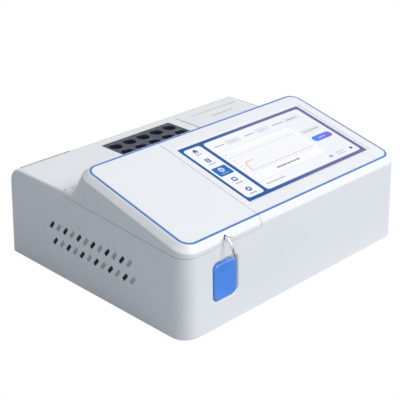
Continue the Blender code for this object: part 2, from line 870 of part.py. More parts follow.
def key_bosses(front):
    """Thicker walls behind the key's dish and the scoop above it."""
    side = DISH_WIDTH / 2 + WALL
    scoop = SCOOP_WIDTH / 2 + WALL
    dish = box(
        (DISH_X - side, 0, DISH_LOW - WALL),
        (DISH_X + side, DISH_DEPTH + WALL, DISH_HIGH + WALL),
        front,
    )
    above = box(
        (NEEDLE_X - scoop, 0, DISH_HIGH),
        (NEEDLE_X + scoop, SCOOP_DEPTH + WALL, DECK_HEIGHT - WALL / 2),
        front,
    )
    return [dish, above]


def pin_boss(left, right, y, frame):
    """A block under the deck that holds the end of a hinge pin."""
    low = (left, y - HINGE_RADIUS * 2, HINGE_HEIGHT - PIN_BOSS_DEPTH)
    return box(low, (right, y + HINGE_RADIUS * 2, DECK_HEIGHT), frame)


def display_boss_places():
    """Where the display bracket is screwed up to the panel."""
    left = SCREEN_LEFT + DISPLAY_BOSS_INSET
    right = SCREEN_RIGHT - DISPLAY_BOSS_INSET
    edge = LCD_OVERLAP + DISPLAY_BOSS_RADIUS + GAP * 2
    return [(x, y) for x in (left, right) for y in (SCREEN_FRONT - edge, SCREEN_REAR + edge)]


def screen_window(panel):
    """The screen's opening: upright sides round the glass and a bevel from there to the panel."""
    rings = []
    for height in (-WALL - OVERRUN, -GLASS_RECESS, OVERRUN):
        out = SCREEN_BEVEL * max(0.0, 1 + height / GLASS_RECESS)
        left, right = SCREEN_LEFT - out, SCREEN_RIGHT + out
        front, rear = SCREEN_FRONT - out, SCREEN_REAR + out
        corners = [(left, front), (right, front), (right, rear), (left, rear)]
        rings.append([(x, y, height) for x, y in corners])
    return loft(rings, panel)


def display_bosses(panel):
    return [
        rod((x, y, 0), (x, y, BRACKET_TOP + GAP), DISPLAY_BOSS_RADIUS, panel, SMALL_SIDES)
        for x, y in display_boss_places()
    ]


def door_opening(frame):
    """The hole for the printer door: a round seat at its hinge and a wider slit for the paper."""
    reach = HINGE_RADIUS + SEAM
    below = DECK_HEIGHT - WALL - OVERRUN * 2
    above = DECK_HEIGHT + OVERRUN
    outline = arc((DOOR_HINGE_Y, HINGE_HEIGHT), reach, pi, pi * 3 / 2, CORNER_STEPS + 1)
    outline += [(DOOR_HINGE_Y, below), (DOOR_REAR + SEAM, below), (DOOR_REAR + SEAM, above)]
    outline.append((outline[0][0], above))
    hole = slab([outline], "X", DOOR_LEFT - SEAM, DOOR_RIGHT + SEAM, frame)
    slit = PAPER_SLIT_WIDTH / 2
    mouth = box(
        (PAPER_X - slit, DOOR_REAR, below),
        (PAPER_X + slit, DOOR_REAR + SEAM + PAPER_SLIT_EXTRA, above),
        frame,
    )
    return join(hole, mouth)


def side_scoop(frame):
    """A shallow fingernail hollow beside the printer door."""
    half = SIDE_SCOOP_LENGTH / 2
    radius = (half**2 + SIDE_SCOOP_WIDTH**2) / (2 * SIDE_SCOOP_WIDTH)
    middle = DOOR_FRONT + half
    centre = (DOOR_LEFT - SEAM - SIDE_SCOOP_WIDTH + radius, middle)
    sweep = asin(half / radius)
    outline = arc(centre, radius, pi - sweep, pi + sweep, CORNER_STEPS * 2)
    outline += [(outline[-1][0] + SEAM, outline[-1][1]), (outline[0][0] + SEAM, outline[0][1])]
    return slab([outline], "Z", DECK_HEIGHT - SIDE_SCOOP_DEPTH, DECK_HEIGHT + OVERRUN, frame)


def vent_slot(y, height, depth, left):
    """One leaning slot through the left wall, or only as deep as given."""
    half_width, half_length = VENT_SLOT_WIDTH / 2, VENT_LENGTH / 2
    outline = rounded((-half_width, -half_length), (half_width, half_length), VENT_END_RADIUS, 2)
    turn = Matrix.Rotation(VENT_LEAN, 2)
    outline = [tuple(turn @ Vector(point) + Vector((y, height))) for point in outline]
    return slab([outline], "X", -OVERRUN, depth, left)


def vents(left):
    """Two rows of through slots, each with shallow slots between."""
    slots = []
    for height, shift in ((VENT_UPPER_HEIGHT, 0.0), (VENT_LOWER_HEIGHT, VENT_ROW_SHIFT)):
        for number in range(VENT_COUNT):
            y = VENT_FIRST_Y - shift - number * VENT_PITCH
            slots.append(vent_slot(y, height, WALL + OVERRUN, left))
            slots.append(vent_slot(y - VENT_PITCH / 2, height, VENT_RECESS, left))
    return gather(slots)


def dish(front):
    """The key's dish: a rounded rectangle whose sides draw in with depth."""
    rings = []
    for depth in (-OVERRUN, DISH_DEPTH):
        share = depth / DISH_DEPTH
        side = DISH_WIDTH / 2 - DISH_SIDE_DRAW * share
        low = (DISH_X - side, DISH_LOW + DISH_BOTTOM_DRAW * share)
        high = (DISH_X + side, DISH_HIGH - DISH_TOP_DRAW * share)
        rings.append([(x, depth, z) for x, z in rounded(low, high, DISH_RADIUS - DISH_TOP_DRAW * share)])
    return loft(rings, front)


def stem_holes(low, high, front):
    """Holes for the key's stem and post through what lies between two depths."""
    side = KEY_STEM_WIDTH / 2 + RUNNING_GAP
    up = KEY_STEM_HEIGHT / 2 + DISH_STEM_CLEARANCE
    post = KEY_POST_RADIUS + DISH_STEM_CLEARANCE
    stem = box(
        (KEY_X - side, low, KEY_PIVOT_HEIGHT - up),
        (KEY_X + side, high, KEY_PIVOT_HEIGHT + up),
        front,
    )
    hole = rod((KEY_X, low, KEY_POST_HEIGHT), (KEY_X, high, KEY_POST_HEIGHT), post, front, SMALL_SIDES)
    return gather([stem, hole])


def scoop(front):
    """A shallow upright hollow from the key's dish up to the needle."""
    radius = ((SCOOP_WIDTH / 2) ** 2 + SCOOP_DEPTH**2) / (2 * SCOOP_DEPTH)
    y = SCOOP_DEPTH - radius
    low = DISH_HIGH - DISH_TOP_DRAW
    return rod((NEEDLE_X, y, low), (NEEDLE_X, y, SEAM_FRONT_HEIGHT + OVERRUN), radius, front, ROUND_SIDES * 2)


def scoop_end(front):
    """The hollow's upper end in the cover, where it runs out under the deck."""
    radius = ((SCOOP_WIDTH / 2) ** 2 + SCOOP_DEPTH**2) / (2 * SCOOP_DEPTH)
    sweep = asin((SCOOP_WIDTH + WALL) / 2 / radius)
    rings = []
    for share in SCOOP_FADE_SHARES:
        y = SCOOP_DEPTH * (1 - max(share, 0.0) ** 2) - radius
        height = SEAM_FRONT_HEIGHT + SCOOP_FADE * share
        outline = arc((NEEDLE_X, y), radius, pi / 2 - sweep, pi / 2 + sweep, CORNER_STEPS * 2)
        outline += [(outline[-1][0], -OVERRUN), (outline[0][0], -OVERRUN)]
        rings.append([(x, depth, height) for x, depth in outline])
    return loft(rings, front)


def needle_slot(frame):
    """The cover's narrow slot over the needle, open at the bottom."""
    start, end = -HALF_DEPTH - OVERRUN, HOLDER_FRONT - NEEDLE_BEND_Y - OVERRUN
    radius = NEEDLE_SLOT_RADIUS
    top = rod((NEEDLE_X, start, NEEDLE_HEIGHT), (NEEDLE_X, end, NEEDLE_HEIGHT), radius, frame)
    low = (NEEDLE_X - radius, start, SEAM_FRONT_HEIGHT - OVERRUN)
    return join(top, box(low, (NEEDLE_X + radius, end, NEEDLE_HEIGHT), frame))


def rear_window(rear):
    """The hole behind the rear plate, with its screw holes, the fan grille and the drain."""
    side = REAR_PLATE_WIDTH / 2 - REAR_WINDOW_SIDE
    bottom = REAR_PLATE_TOP - REAR_PLATE_HEIGHT
    holes = [
        box(
            (REAR_PLATE_X - side, -WALL - OVERRUN, bottom + REAR_WINDOW_END),
            (REAR_PLATE_X + side, OVERRUN, REAR_PLATE_TOP - REAR_WINDOW_END),
            rear,
        )
    ]
    for x, z in screw_places():
        holes.append(rod((x, -WALL - OVERRUN, z), (x, OVERRUN, z), SCREW_SHANK + GAP, rear, SMALL_SIDES))
    rows = int(GRILLE_RADIUS / GRILLE_PITCH)
    for row in range(-rows, rows + 1):
        offset = row * GRILLE_PITCH
        reach = sqrt(GRILLE_RADIUS**2 - offset**2)
        z = FAN_HEIGHT + offset
        low = (FAN_X - reach, -WALL - OVERRUN, z - GRILLE_SLOT / 2)
        holes.append(box(low, (FAN_X + reach, OVERRUN, z + GRILLE_SLOT / 2), rear))
    low = (WASTE_X, -WALL - OVERRUN, WASTE_HEIGHT)
    holes.append(rod(low, (WASTE_X, OVERRUN, WASTE_HEIGHT), WASTE_RADIUS + GAP, rear, SMALL_SIDES))
    return gather(holes)


def screw_places():
    """The rear plate's four screws, across and up the rear wall."""
    side = REAR_PLATE_WIDTH / 2 - SCREW_INSET
    low = REAR_PLATE_TOP - REAR_PLATE_HEIGHT + SCREW_INSET
    high = REAR_PLATE_TOP - SCREW_INSET
    return [(REAR_PLATE_X + x, z) for x in (-side, side) for z in (low, high)]


def stripe(low, high, widening, panel):
    """A flat ring along the panel's edge between two levels."""
    half = STRIPE_WIDTH / 2 + widening
    loops = []
    for offset in (half, -half):
        side = PANEL_HALF_WIDTH + offset
        loops.append(rounded((-side, -offset), (side, PANEL_LENGTH + offset), PANEL_RADIUS + offset))
    return slab(loops, "Z", low, high, panel)


def hinge_bore(left, right, y, frame):
    return rod((left, y, HINGE_HEIGHT), (right, y, HINGE_HEIGHT), PIN_RADIUS + GAP, frame, SMALL_SIDES)


def hinge_ear(frame):
    """The knuckle inside the left wall that carries the cover's pin."""
    left = EAR_INSET - HALF_WIDTH
    right = left + EAR_WIDTH
    low = HINGE_HEIGHT - HINGE_RADIUS
    knuckle = rod((left, COVER_HINGE_Y, HINGE_HEIGHT), (right, COVER_HINGE_Y, HINGE_HEIGHT), HINGE_RADIUS, frame)
    arm = box((left, COVER_HINGE_Y, low), (right, COVER_HINGE_Y + EAR_REACH, DECK_HEIGHT), frame)
    return join(arm, knuckle)


def make_casing_and_cover(frames, looks, pivot):
    """Upper casing and left cover, split from one skin along the seam."""
    case, panel, front = frames["case"], frames["panel"], frames["front"]
    inner = hull(WALL, -OVERRUN, case)
    features = corner_posts(case) + key_bosses(front) + display_bosses(panel)
    features.append(pin_boss(COVER_EDGE + SEAM, COVER_EDGE + SEAM + PIN_BOSS_LENGTH, COVER_HINGE_Y, case))
    features.append(pin_boss(DOOR_LEFT - SEAM - PIN_BOSS_LENGTH, DOOR_LEFT - SEAM, DOOR_HINGE_Y, case))
    cut(inner, *features)
    skin = cut(hull(0.0, 0.0, case), inner)
    cut(skin, stripe(-STRIPE_DEPTH - GAP, OVERRUN, GAP, panel))

    cover = keep(copy_of(skin), cover_region(0.0, case))
    left = PIN_CLEARANCE_SIDE - HALF_WIDTH
    start, end = (left, COVER_HINGE_Y, HINGE_HEIGHT), (COVER_EDGE, COVER_HINGE_Y, HINGE_HEIGHT)
    barrel = rod(start, end, HINGE_RADIUS - GAP, case)
    join(cover, barrel)
    reach = HINGE_RADIUS + SEAM
    ear_left = EAR_INSET - HALF_WIDTH
    ear_space = box(
        (ear_left - SEAM, COVER_HINGE_Y - reach, HINGE_HEIGHT - reach),
        (ear_left + EAR_WIDTH + SEAM, COVER_HINGE_Y + reach, DECK_HEIGHT + OVERRUN),
        case,
    )
    cut(cover, ear_space, hinge_bore(left + WALL, COVER_EDGE + OVERRUN, COVER_HINGE_Y, case))
    cut(cover, needle_slot(case), scoop_end(front))

    cut(skin, cover_region(SEAM, case))
    join(skin, hinge_ear(case))
    cut(
        skin,
        hinge_bore(left + WALL, COVER_EDGE + PIN_BOSS_LENGTH, COVER_HINGE_Y, case),
        hinge_bore(DOOR_LEFT - PIN_BOSS_LENGTH, DOOR_RIGHT + WALL, DOOR_HINGE_Y, case),
        screen_window(panel),
        incubator_space(GAP * 2, DECK_HEIGHT - WALL - OVERRUN, DECK_HEIGHT + OVERRUN, case),
        side_scoop(case),
        door_opening(case),
        vents(frames["left"]),
        dish(front),
        scoop(front),
        stem_holes(DISH_DEPTH - OVERRUN, DISH_DEPTH + WALL + OVERRUN, front),
        rear_window(frames["rear"]),
    )
    finish(skin, "upper_casing", looks["white"])
    finish(cover, "left_cover", looks["white"], pivot)


def make_stripes(panel, looks, pivot):
    """The blue stripe laid in its groove, in two lengths that meet at the seam."""
    whole = stripe(-STRIPE_DEPTH, 0.0, 0.0, panel)
    wide = HALF_WIDTH + OVERRUN
    low, high = -STRIPE_DEPTH - OVERRUN, OVERRUN
    left = box((-wide, -OVERRUN, low), (COVER_EDGE, PANEL_LENGTH + OVERRUN, high), panel)
    right = box((COVER_EDGE + SEAM, -OVERRUN, low), (wide, PANEL_LENGTH + OVERRUN, high), panel)
    finish(keep(copy_of(whole), left), "cover_stripe", looks["blue_line"], pivot)
    finish(keep(whole, right), "panel_stripe", looks["blue_line"])


def make_base(frame, looks):
    """Base plate and four feet."""
    edge = WALL + GAP * 2
    side, end = HALF_WIDTH - edge, HALF_DEPTH - edge
    outline = rounded((-side, -end), (side, end), FRONT_CORNER_RADIUS - WALL)
    finish(slab([outline], "Z", GAP, GAP + BASE_THICKNESS, frame), "base_plate", looks["steel"])
    profile = [
        (0.0, 0.0),
        (FOOT_RADIUS, 0.0),
        (FOOT_RADIUS * FOOT_TAPER_SHARE, -FOOT_HEIGHT),
        (0.0, -FOOT_HEIGHT),
    ]
    across, along = HALF_WIDTH - FOOT_INSET, HALF_DEPTH - FOOT_INSET
    for end_name, y in (("front", -along), ("rear", along)):
        for side_name, x in (("left", -across), ("right", across)):
            foot = turned(profile, ROUND_SIDES, Matrix.Translation((x, y, 0)), frame)
            finish(foot, f"foot_{end_name}_{side_name}", looks["rubber"])


# Pieces under the sloping panel


def board_with_parts(low, high, shares, tall, side, frame):
    """A circuit board with blocks on one side, placed and sized by shares of the board."""
    board = box(low, high, frame)
    width, length = high[0] - low[0], high[1] - low[1]
    for x_share, y_share, width_share, length_share, tall_share in shares:
        x, y = low[0] + width * x_share, low[1] + length * y_share
        base = high[2] - BOARD_THICKNESS / 2 if side > 0 else low[2] + BOARD_THICKNESS / 2
        end = (high[2] if side > 0 else low[2]) + side * tall * tall_share
        z = sorted((base, end))
        block = box((x, y, z[0]), (x + width * width_share, y + length * length_share, z[1]), frame)
        join(board, block)
    return board


def make_display(panel, looks):
    """Touch glass, display, its bracket and the main board, stacked under the panel."""
    low = (SCREEN_LEFT + GAP, SCREEN_FRONT + GAP, -WALL)
    high = (SCREEN_RIGHT - GAP, SCREEN_REAR - GAP, -GLASS_RECESS)
    finish(box(low, high, panel), "touch_glass", looks["glass"])

    rim = LCD_OVERLAP
    low = (SCREEN_LEFT - rim, SCREEN_FRONT - rim, LCD_TOP - LCD_THICKNESS)
    lcd = box(low, (SCREEN_RIGHT + rim, SCREEN_REAR + rim, LCD_TOP), panel)
    well = box(
        (SCREEN_LEFT + LCD_FRAME, SCREEN_FRONT + LCD_FRAME, LCD_TOP - LCD_INSET),
        (SCREEN_RIGHT - LCD_FRAME, SCREEN_REAR - LCD_FRAME, LCD_TOP + OVERRUN),
        panel,
    )
    finish(cut(lcd, well), "lcd_module", looks["screen"])

    places = display_boss_places()
    reach = DISPLAY_BOSS_RADIUS + GAP
    left, right = SCREEN_LEFT - BRACKET_MARGIN, SCREEN_RIGHT + BRACKET_MARGIN
    front, rear = places[0][1] - reach, places[1][1] + reach
    hole = BRACKET_WINDOW_INSET
    loops = [
        rounded((left, front), (right, rear), reach, 2),
        rounded((left + hole, front + hole), (right - hole, rear - hole), reach, 2),
    ]
    bottom = BRACKET_TOP - BRACKET_THICKNESS
    bracket = slab(loops, "Z", bottom, BRACKET_TOP, panel)
    board_low = (SCREEN_LEFT + MAIN_BOARD_SIDE_INSET, SCREEN_FRONT + MAIN_BOARD_END_INSET)
    board_high = (SCREEN_RIGHT - MAIN_BOARD_SIDE_INSET, SCREEN_REAR - MAIN_BOARD_END_INSET)
    arm = STANDOFF_RADIUS * 2
    for x in (board_low[0] + arm, board_high[0] - arm):
        bar = box((x - arm, front + reach, bottom), (x + arm, rear - reach, BRACKET_TOP), panel)
        join(bracket, bar)
        for y in (board_low[1] + arm, board_high[1] - arm):
            start = (x, y, BRACKET_TOP - BRACKET_THICKNESS / 2)
            join(bracket, rod(start, (x, y, BOARD_TOP + GAP), STANDOFF_RADIUS, panel, SMALL_SIDES))
    finish(bracket, "display_bracket", looks["steel"])

    board = board_with_parts(
        (*board_low, BOARD_TOP - BOARD_THICKNESS),
        (*board_high, BOARD_TOP),
        MAIN_BOARD_SHARES,
        MAIN_BOARD_PART_HEIGHT,
        -1,
        panel,
    )
    finish(board, "main_board", looks["board"])


# Aspirate key and needle


def make_key(front, looks, pivot):
    """The blue key, its bracket, pin and micro switch."""
    half = KEY_WIDTH / 2
    outline = rounded((KEY_X - half, KEY_LOW), (KEY_X + half, KEY_HIGH), KEY_RADIUS)
    back = KEY_THICKNESS - KEY_PROUD
    key = slab([outline], "Y", -KEY_PROUD, back, front)
    bevel(key, lambda edge: all(v.co.y < GAP - KEY_PROUD for v in edge.verts), KEY_SOFT_EDGE, 2)
    stem = KEY_STEM_WIDTH / 2
    up = KEY_STEM_HEIGHT / 2
    arm = box(
        (KEY_X - stem, back - KEY_THICKNESS / 2, KEY_PIVOT_HEIGHT - up),
        (KEY_X + stem, KEY_PIVOT_DEPTH, KEY_PIVOT_HEIGHT + up),
        front,
    )
    start = (KEY_X - stem, KEY_PIVOT_DEPTH, KEY_PIVOT_HEIGHT)
    eye = rod(start, (KEY_X + stem, KEY_PIVOT_DEPTH, KEY_PIVOT_HEIGHT), up, front)
    post = rod(
        (KEY_X, back - KEY_THICKNESS / 2, KEY_POST_HEIGHT),
        (KEY_X, KEY_POST_DEPTH, KEY_POST_HEIGHT),
        KEY_POST_RADIUS,
        front,
        SMALL_SIDES,
    )
    join(key, join(arm, eye), post)
    cheek = stem + RUNNING_GAP
    wide = cheek + KEY_BRACKET_SHEET

    def pin(radius, reach):
        low = (KEY_X - reach, KEY_PIVOT_DEPTH, KEY_PIVOT_HEIGHT)
        return rod(low, (KEY_X + reach, KEY_PIVOT_DEPTH, KEY_PIVOT_HEIGHT), radius, front, SMALL_SIDES)

    cut(key, pin(PIN_RADIUS + GAP, wide))
    finish(key, "aspirate_key", looks["key_blue"], pivot)
    finish(pin(PIN_RADIUS, wide + GAP), "key_pin", looks["bright"])

    face = DISH_DEPTH + WALL + GAP
    switch_front = KEY_POST_DEPTH + KEY_TRAVEL
    switch_back = switch_front + KEY_SWITCH_DEPTH
    low_end, high_end = KEY_LOW, KEY_PIVOT_HEIGHT + up + KEY_BRACKET_SHEET
    bracket = box((KEY_X - wide, face, low_end), (KEY_X + wide, switch_back + GAP + KEY_BRACKET_SHEET, high_end), front)
    channel = box(
        (KEY_X - cheek, face + KEY_BRACKET_SHEET, low_end - OVERRUN),
        (KEY_X + cheek, switch_back + GAP, high_end + OVERRUN),
        front,
    )
    upper = box(
        (KEY_X - wide - OVERRUN, KEY_PIVOT_DEPTH + up, low_end + KEY_SWITCH_HEIGHT + KEY_BRACKET_SHEET),
        (KEY_X + wide + OVERRUN, switch_back + KEY_BRACKET_SHEET + OVERRUN, high_end + OVERRUN),
        front,
    )
    cut(bracket, channel, upper, stem_holes(face - OVERRUN, face + KEY_BRACKET_SHEET + OVERRUN, front))
    cut(bracket, pin(PIN_RADIUS + GAP, wide + OVERRUN))
    finish(bracket, "key_bracket", looks["steel"])
    body = cheek - GAP
    switch = box(
        (KEY_X - body, switch_front, low_end + KEY_BRACKET_SHEET),
        (KEY_X + body, switch_back, low_end + KEY_BRACKET_SHEET + KEY_SWITCH_HEIGHT),
        front,
    )
    finish(switch, "key_switch", looks["dark"])


def make_needle(frame, looks):
    """The bent steel needle, its holder and the tube behind it."""
    bend = -NEEDLE_BEND_Y
    tail = bend + NEEDLE_TAIL
    points = [
        (NEEDLE_X, tail, NEEDLE_HEIGHT),
        (NEEDLE_X, tail - NEEDLE_TAIL / 3, NEEDLE_HEIGHT),
        (NEEDLE_X, bend + NEEDLE_TAIL / 3, NEEDLE_HEIGHT),
        (NEEDLE_X, bend + NEEDLE_TAIL / 8, NEEDLE_HEIGHT),
        (NEEDLE_X, bend - NEEDLE_REACH / 4, NEEDLE_HEIGHT - NEEDLE_KNEE_DROP / 8),
        (NEEDLE_X, bend - NEEDLE_REACH, NEEDLE_HEIGHT - NEEDLE_KNEE_DROP),
        (NEEDLE_X, bend - NEEDLE_TIP_REACH, NEEDLE_HEIGHT - NEEDLE_TIP_DROP),
    ]
    finish(tube(points, NEEDLE_RADIUS, 4, frame), "suction_needle", looks["bright"])
    half = HOLDER_WIDTH / 2
    low = bend + HOLDER_FRONT
    holder = box(
        (NEEDLE_X - half, low, BAY_SHELF + BAY_WALL + GAP),
        (NEEDLE_X + half, low + HOLDER_DEPTH, NEEDLE_HEIGHT + HOLDER_ABOVE),
        frame,
    )
    start = (NEEDLE_X, low - OVERRUN, NEEDLE_HEIGHT)
    bore = rod(start, (NEEDLE_X, low + HOLDER_DEPTH + OVERRUN, NEEDLE_HEIGHT), NEEDLE_RADIUS + GAP, frame, SMALL_SIDES)
    finish(cut(holder, bore), "needle_holder", looks["dark"])


# Fluid bay


def make_bay(frame, looks):
    """The open tray under the left cover: floor, raised front shelf, lip and inner partition."""
    inset = WALL + SEAM
    wide = HALF_WIDTH + OVERRUN
    deep = HALF_DEPTH + OVERRUN
    top = WEDGE_TOP + OVERRUN
    partition = COVER_EDGE + SEAM * 2
    bay = hull(inset, BAY_FLOOR, frame)
    keep(bay, box((-wide, -deep, 0), (partition + BAY_WALL, BAY_REAR, top), frame))
    cut(bay, box((-wide, -deep, 0), (wide, BAY_SHELF_Y, BAY_SHELF), frame))
    pocket = hull(inset + BAY_WALL, BAY_FLOOR + BAY_WALL, frame)
    keep(pocket, box((-wide, -deep, 0), (partition, BAY_REAR - BAY_WALL, top), frame))
    cut(pocket, box((-wide, -deep, 0), (wide, BAY_SHELF_Y + BAY_WALL, BAY_SHELF + BAY_WALL), frame))
    outline = [(-deep, seam_height(-deep) + BAY_LIP), (deep, seam_height(deep) + BAY_LIP), (deep, top), (-deep, top)]
    lip = slab([outline], "X", -wide, partition, frame)
    scoop_side = SCOOP_WIDTH / 2 + WALL + SEAM
    boss = box(
        (NEEDLE_X - scoop_side, -deep, 0),
        (NEEDLE_X + scoop_side, front_at(0.0) + SCOOP_DEPTH + WALL * 2, top),
        frame,
    )
    start = (PUMP_X, PUMP_Y, BAY_FLOOR - OVERRUN)
    shaft_hole = rod(start, (PUMP_X, PUMP_Y, BAY_FLOOR + OVERRUN), PUMP_SHAFT_RADIUS * 2, frame, SMALL_SIDES)
    drain = drain_points()[DRAIN_FLOOR_POINT]
    start = (drain[0], drain[1], BAY_FLOOR - OVERRUN)
    end = (drain[0], drain[1], BAY_FLOOR + OVERRUN)
    drain_hole = rod(start, end, PUMP_TUBE_RADIUS + RUNNING_GAP * 2, frame, SMALL_SIDES)
    cut(bay, pocket, lip, boss, shaft_hole, drain_hole)
    left = inset + BAY_LEG_INSET - HALF_WIDTH
    right = COVER_EDGE - BAY_LEG_INSET
    for x in (left, right):
        for y in (BAY_SHELF_Y + BAY_LEG_INSET, BAY_REAR - BAY_LEG_INSET):
            join(bay, rod((x, y, FLOOR_LEVEL), (x, y, BAY_FLOOR + BAY_WALL / 2), BAY_LEG_RADIUS, frame, SMALL_SIDES))
    finish(bay, "bay_tray", looks["grey"])


def make_pump(frame, looks, pivot):
    """Peristaltic pump: housing, motor under the floor, roller rotor and squeezed tube."""
    base = BAY_FLOOR + BAY_WALL + GAP
    top = base + PUMP_HEIGHT
    half = PUMP_SIZE / 2
    outline = rounded((PUMP_X - half, PUMP_Y - half), (PUMP_X + half, PUMP_Y + half), PUMP_SIZE / 8, 3)
    head = slab([outline], "Z", base, top, frame)
    floor = base + PUMP_DISC
    lane = PUMP_CAVITY_RADIUS - PUMP_TUBE_RADIUS - GAP * 2
    middle = (floor + top) / 2
    slot = PUMP_TUBE_RADIUS + GAP
    cavity = rod((PUMP_X, PUMP_Y, floor), (PUMP_X, PUMP_Y, top + OVERRUN), PUMP_CAVITY_RADIUS, frame, ROUND_SIDES * 2)
    shaft = rod((PUMP_X, PUMP_Y, base - OVERRUN), (PUMP_X, PUMP_Y, top), PUMP_SHAFT_RADIUS * 3 / 2, frame, SMALL_SIDES)
    cut(head, cavity, shaft)
    for side in (-1, 1):
        x = PUMP_X + side * lane
        cut(head, box((x - slot, PUMP_Y - half - OVERRUN, middle - slot), (x + slot, PUMP_Y, top + OVERRUN), frame))
    finish(head, "pump_head", looks["dark"])

    motor_top = BAY_FLOOR - GAP
    low = (PUMP_X, PUMP_Y, motor_top - PUMP_MOTOR_LENGTH)
    motor = rod(low, (PUMP_X, PUMP_Y, motor_top), PUMP_MOTOR_RADIUS, frame)
    low = (PUMP_X, PUMP_Y, motor_top - GAP)
    join(motor, rod(low, (PUMP_X, PUMP_Y, middle), PUMP_SHAFT_RADIUS, frame, SMALL_SIDES))
    finish(motor, "pump_motor", looks["bright"])

    low_disc = floor + RUNNING_GAP
    high_disc = top - RUNNING_GAP * 2
    disc_radius = PUMP_ROTOR_RADIUS - PUMP_ROLLER_RADIUS / 2
    rotor = rod((PUMP_X, PUMP_Y, low_disc), (PUMP_X, PUMP_Y, low_disc + PUMP_DISC), disc_radius, frame)
    join(rotor, rod((PUMP_X, PUMP_Y, high_disc - PUMP_DISC), (PUMP_X, PUMP_Y, high_disc), disc_radius, frame))
    join(rotor, rod((PUMP_X, PUMP_Y, low_disc), (PUMP_X, PUMP_Y, high_disc), PUMP_SHAFT_RADIUS * 2, frame, SMALL_SIDES))
    orbit = PUMP_ROTOR_RADIUS - PUMP_ROLLER_RADIUS
    for number in range(PUMP_ROLLERS):
        angle = pi / 2 + number * 2 * pi / PUMP_ROLLERS
        x, y = PUMP_X + orbit * cos(angle), PUMP_Y + orbit * sin(angle)
        start = (x, y, low_disc + PUMP_DISC / 2)
        join(rotor, rod(start, (x, y, high_disc - PUMP_DISC / 2), PUMP_ROLLER_RADIUS, frame, SMALL_SIDES))
    cut(rotor, rod((PUMP_X, PUMP_Y, base), (PUMP_X, PUMP_Y, middle + GAP), PUMP_SHAFT_RADIUS + GAP, frame, SMALL_SIDES))
    finish(rotor, "pump_rotor", looks["light_plastic"], pivot)

    ahead = PUMP_Y - half - PUMP_TUBE_LEAD
    points = [(PUMP_X - lane, ahead, middle), (PUMP_X - lane, PUMP_Y - half / 2, middle)]
    points += [(x, y, middle) for x, y in arc((PUMP_X, PUMP_Y), lane, pi, 0, CORNER_STEPS + 1)]
    points += [(PUMP_X + lane, PUMP_Y - half / 2, middle), (PUMP_X + lane, ahead, middle)]
    finish(tube(points, PUMP_TUBE_RADIUS, 3, frame), "pump_tube", looks["silicone"])


def pump_ports():
    """The two free ends of the pump's tube."""
    base = BAY_FLOOR + BAY_WALL + GAP
    middle = (base + PUMP_DISC + base + PUMP_HEIGHT) / 2
    lane = PUMP_CAVITY_RADIUS - PUMP_TUBE_RADIUS - GAP * 2
    y = PUMP_Y - PUMP_SIZE / 2 - PUMP_TUBE_LEAD - GAP * 2
    return Vector((PUMP_X - lane, y, middle)), Vector((PUMP_X + lane, y, middle))


def drain_points():
    """The drain tube's route: out of the pump, down through the floor and back to the rear wall."""
    start = pump_ports()[1]
    x = COVER_EDGE - DRAIN_SIDE
    return [
        start,
        start - Vector((0, DRAIN_BEND, 0)),
        Vector((x - DRAIN_BEND / 2, start.y - DRAIN_BEND * 2, start.z)),
        Vector((x, start.y - DRAIN_BEND, start.z - DRAIN_BEND)),
        Vector((x, start.y - DRAIN_BEND, BAY_FLOOR)),
        Vector((x, start.y - DRAIN_BEND / 2, BAY_FLOOR - DRAIN_BEND * 2)),
        Vector((WASTE_X, PUMP_Y + PUMP_SIZE / 2, WASTE_HEIGHT)),
        Vector((WASTE_X, SUPPLY_Y, WASTE_HEIGHT)),
        Vector((WASTE_X, drain_end(), WASTE_HEIGHT)),
    ]


def drain_end():
    return rear_at(WASTE_HEIGHT) - WALL - WASTE_SPIGOT - GAP * 2


def make_tubes(frame, looks):
    """The tubes from needle to flow cell, flow cell to pump and pump to the rear wall."""
    needle_end = Vector((NEEDLE_X, NEEDLE_TAIL - NEEDLE_BEND_Y + GAP * 2, NEEDLE_HEIGHT))
    top = cell_top() + GAP * 2
    inlet = Vector((CELL_X - CELL_PORT_SPACING / 2, BEAM_Y, top))
    outlet = Vector((CELL_X + CELL_PORT_SPACING / 2, BEAM_Y, top))
    rise = Vector((0, 0, TUBE_RISE))
    ahead = Vector((0, TUBE_RISE, 0))
    points = [needle_end, needle_end + ahead * 2]
    points.append((needle_end + inlet) / 2 + ahead + rise)
    points += [inlet + rise * 2 - ahead, inlet + rise, inlet]
    finish(tube(points, TUBE_RADIUS, 4, frame), "suction_tube", looks["clear"])
    port = pump_ports()[0]
    points = [outlet, outlet + rise, outlet + rise * 2 + ahead]
    points += [(outlet + port) / 2 + rise * 2, port - ahead * 2 + rise / 2, port - ahead, port]
    finish(tube(points, PUMP_TUBE_RADIUS, 4, frame), "cell_tube", looks["clear"])
    finish(tube(drain_points(), PUMP_TUBE_RADIUS, 4, frame), "drain_tube", looks["clear"])


def cell_top():
    return BAY_FLOOR + BAY_WALL + GAP + CELL_TALL + CELL_STAND_OUT


def wheel_centre():
    """The filter wheel's centre, placed so that one filter lies on the beam."""
    reach = WHEEL_RADIUS * WHEEL_FILTER_SHARE
    return BEAM_Y + reach * cos(WHEEL_ANGLE), BEAM_HEIGHT + reach * sin(WHEEL_ANGLE)


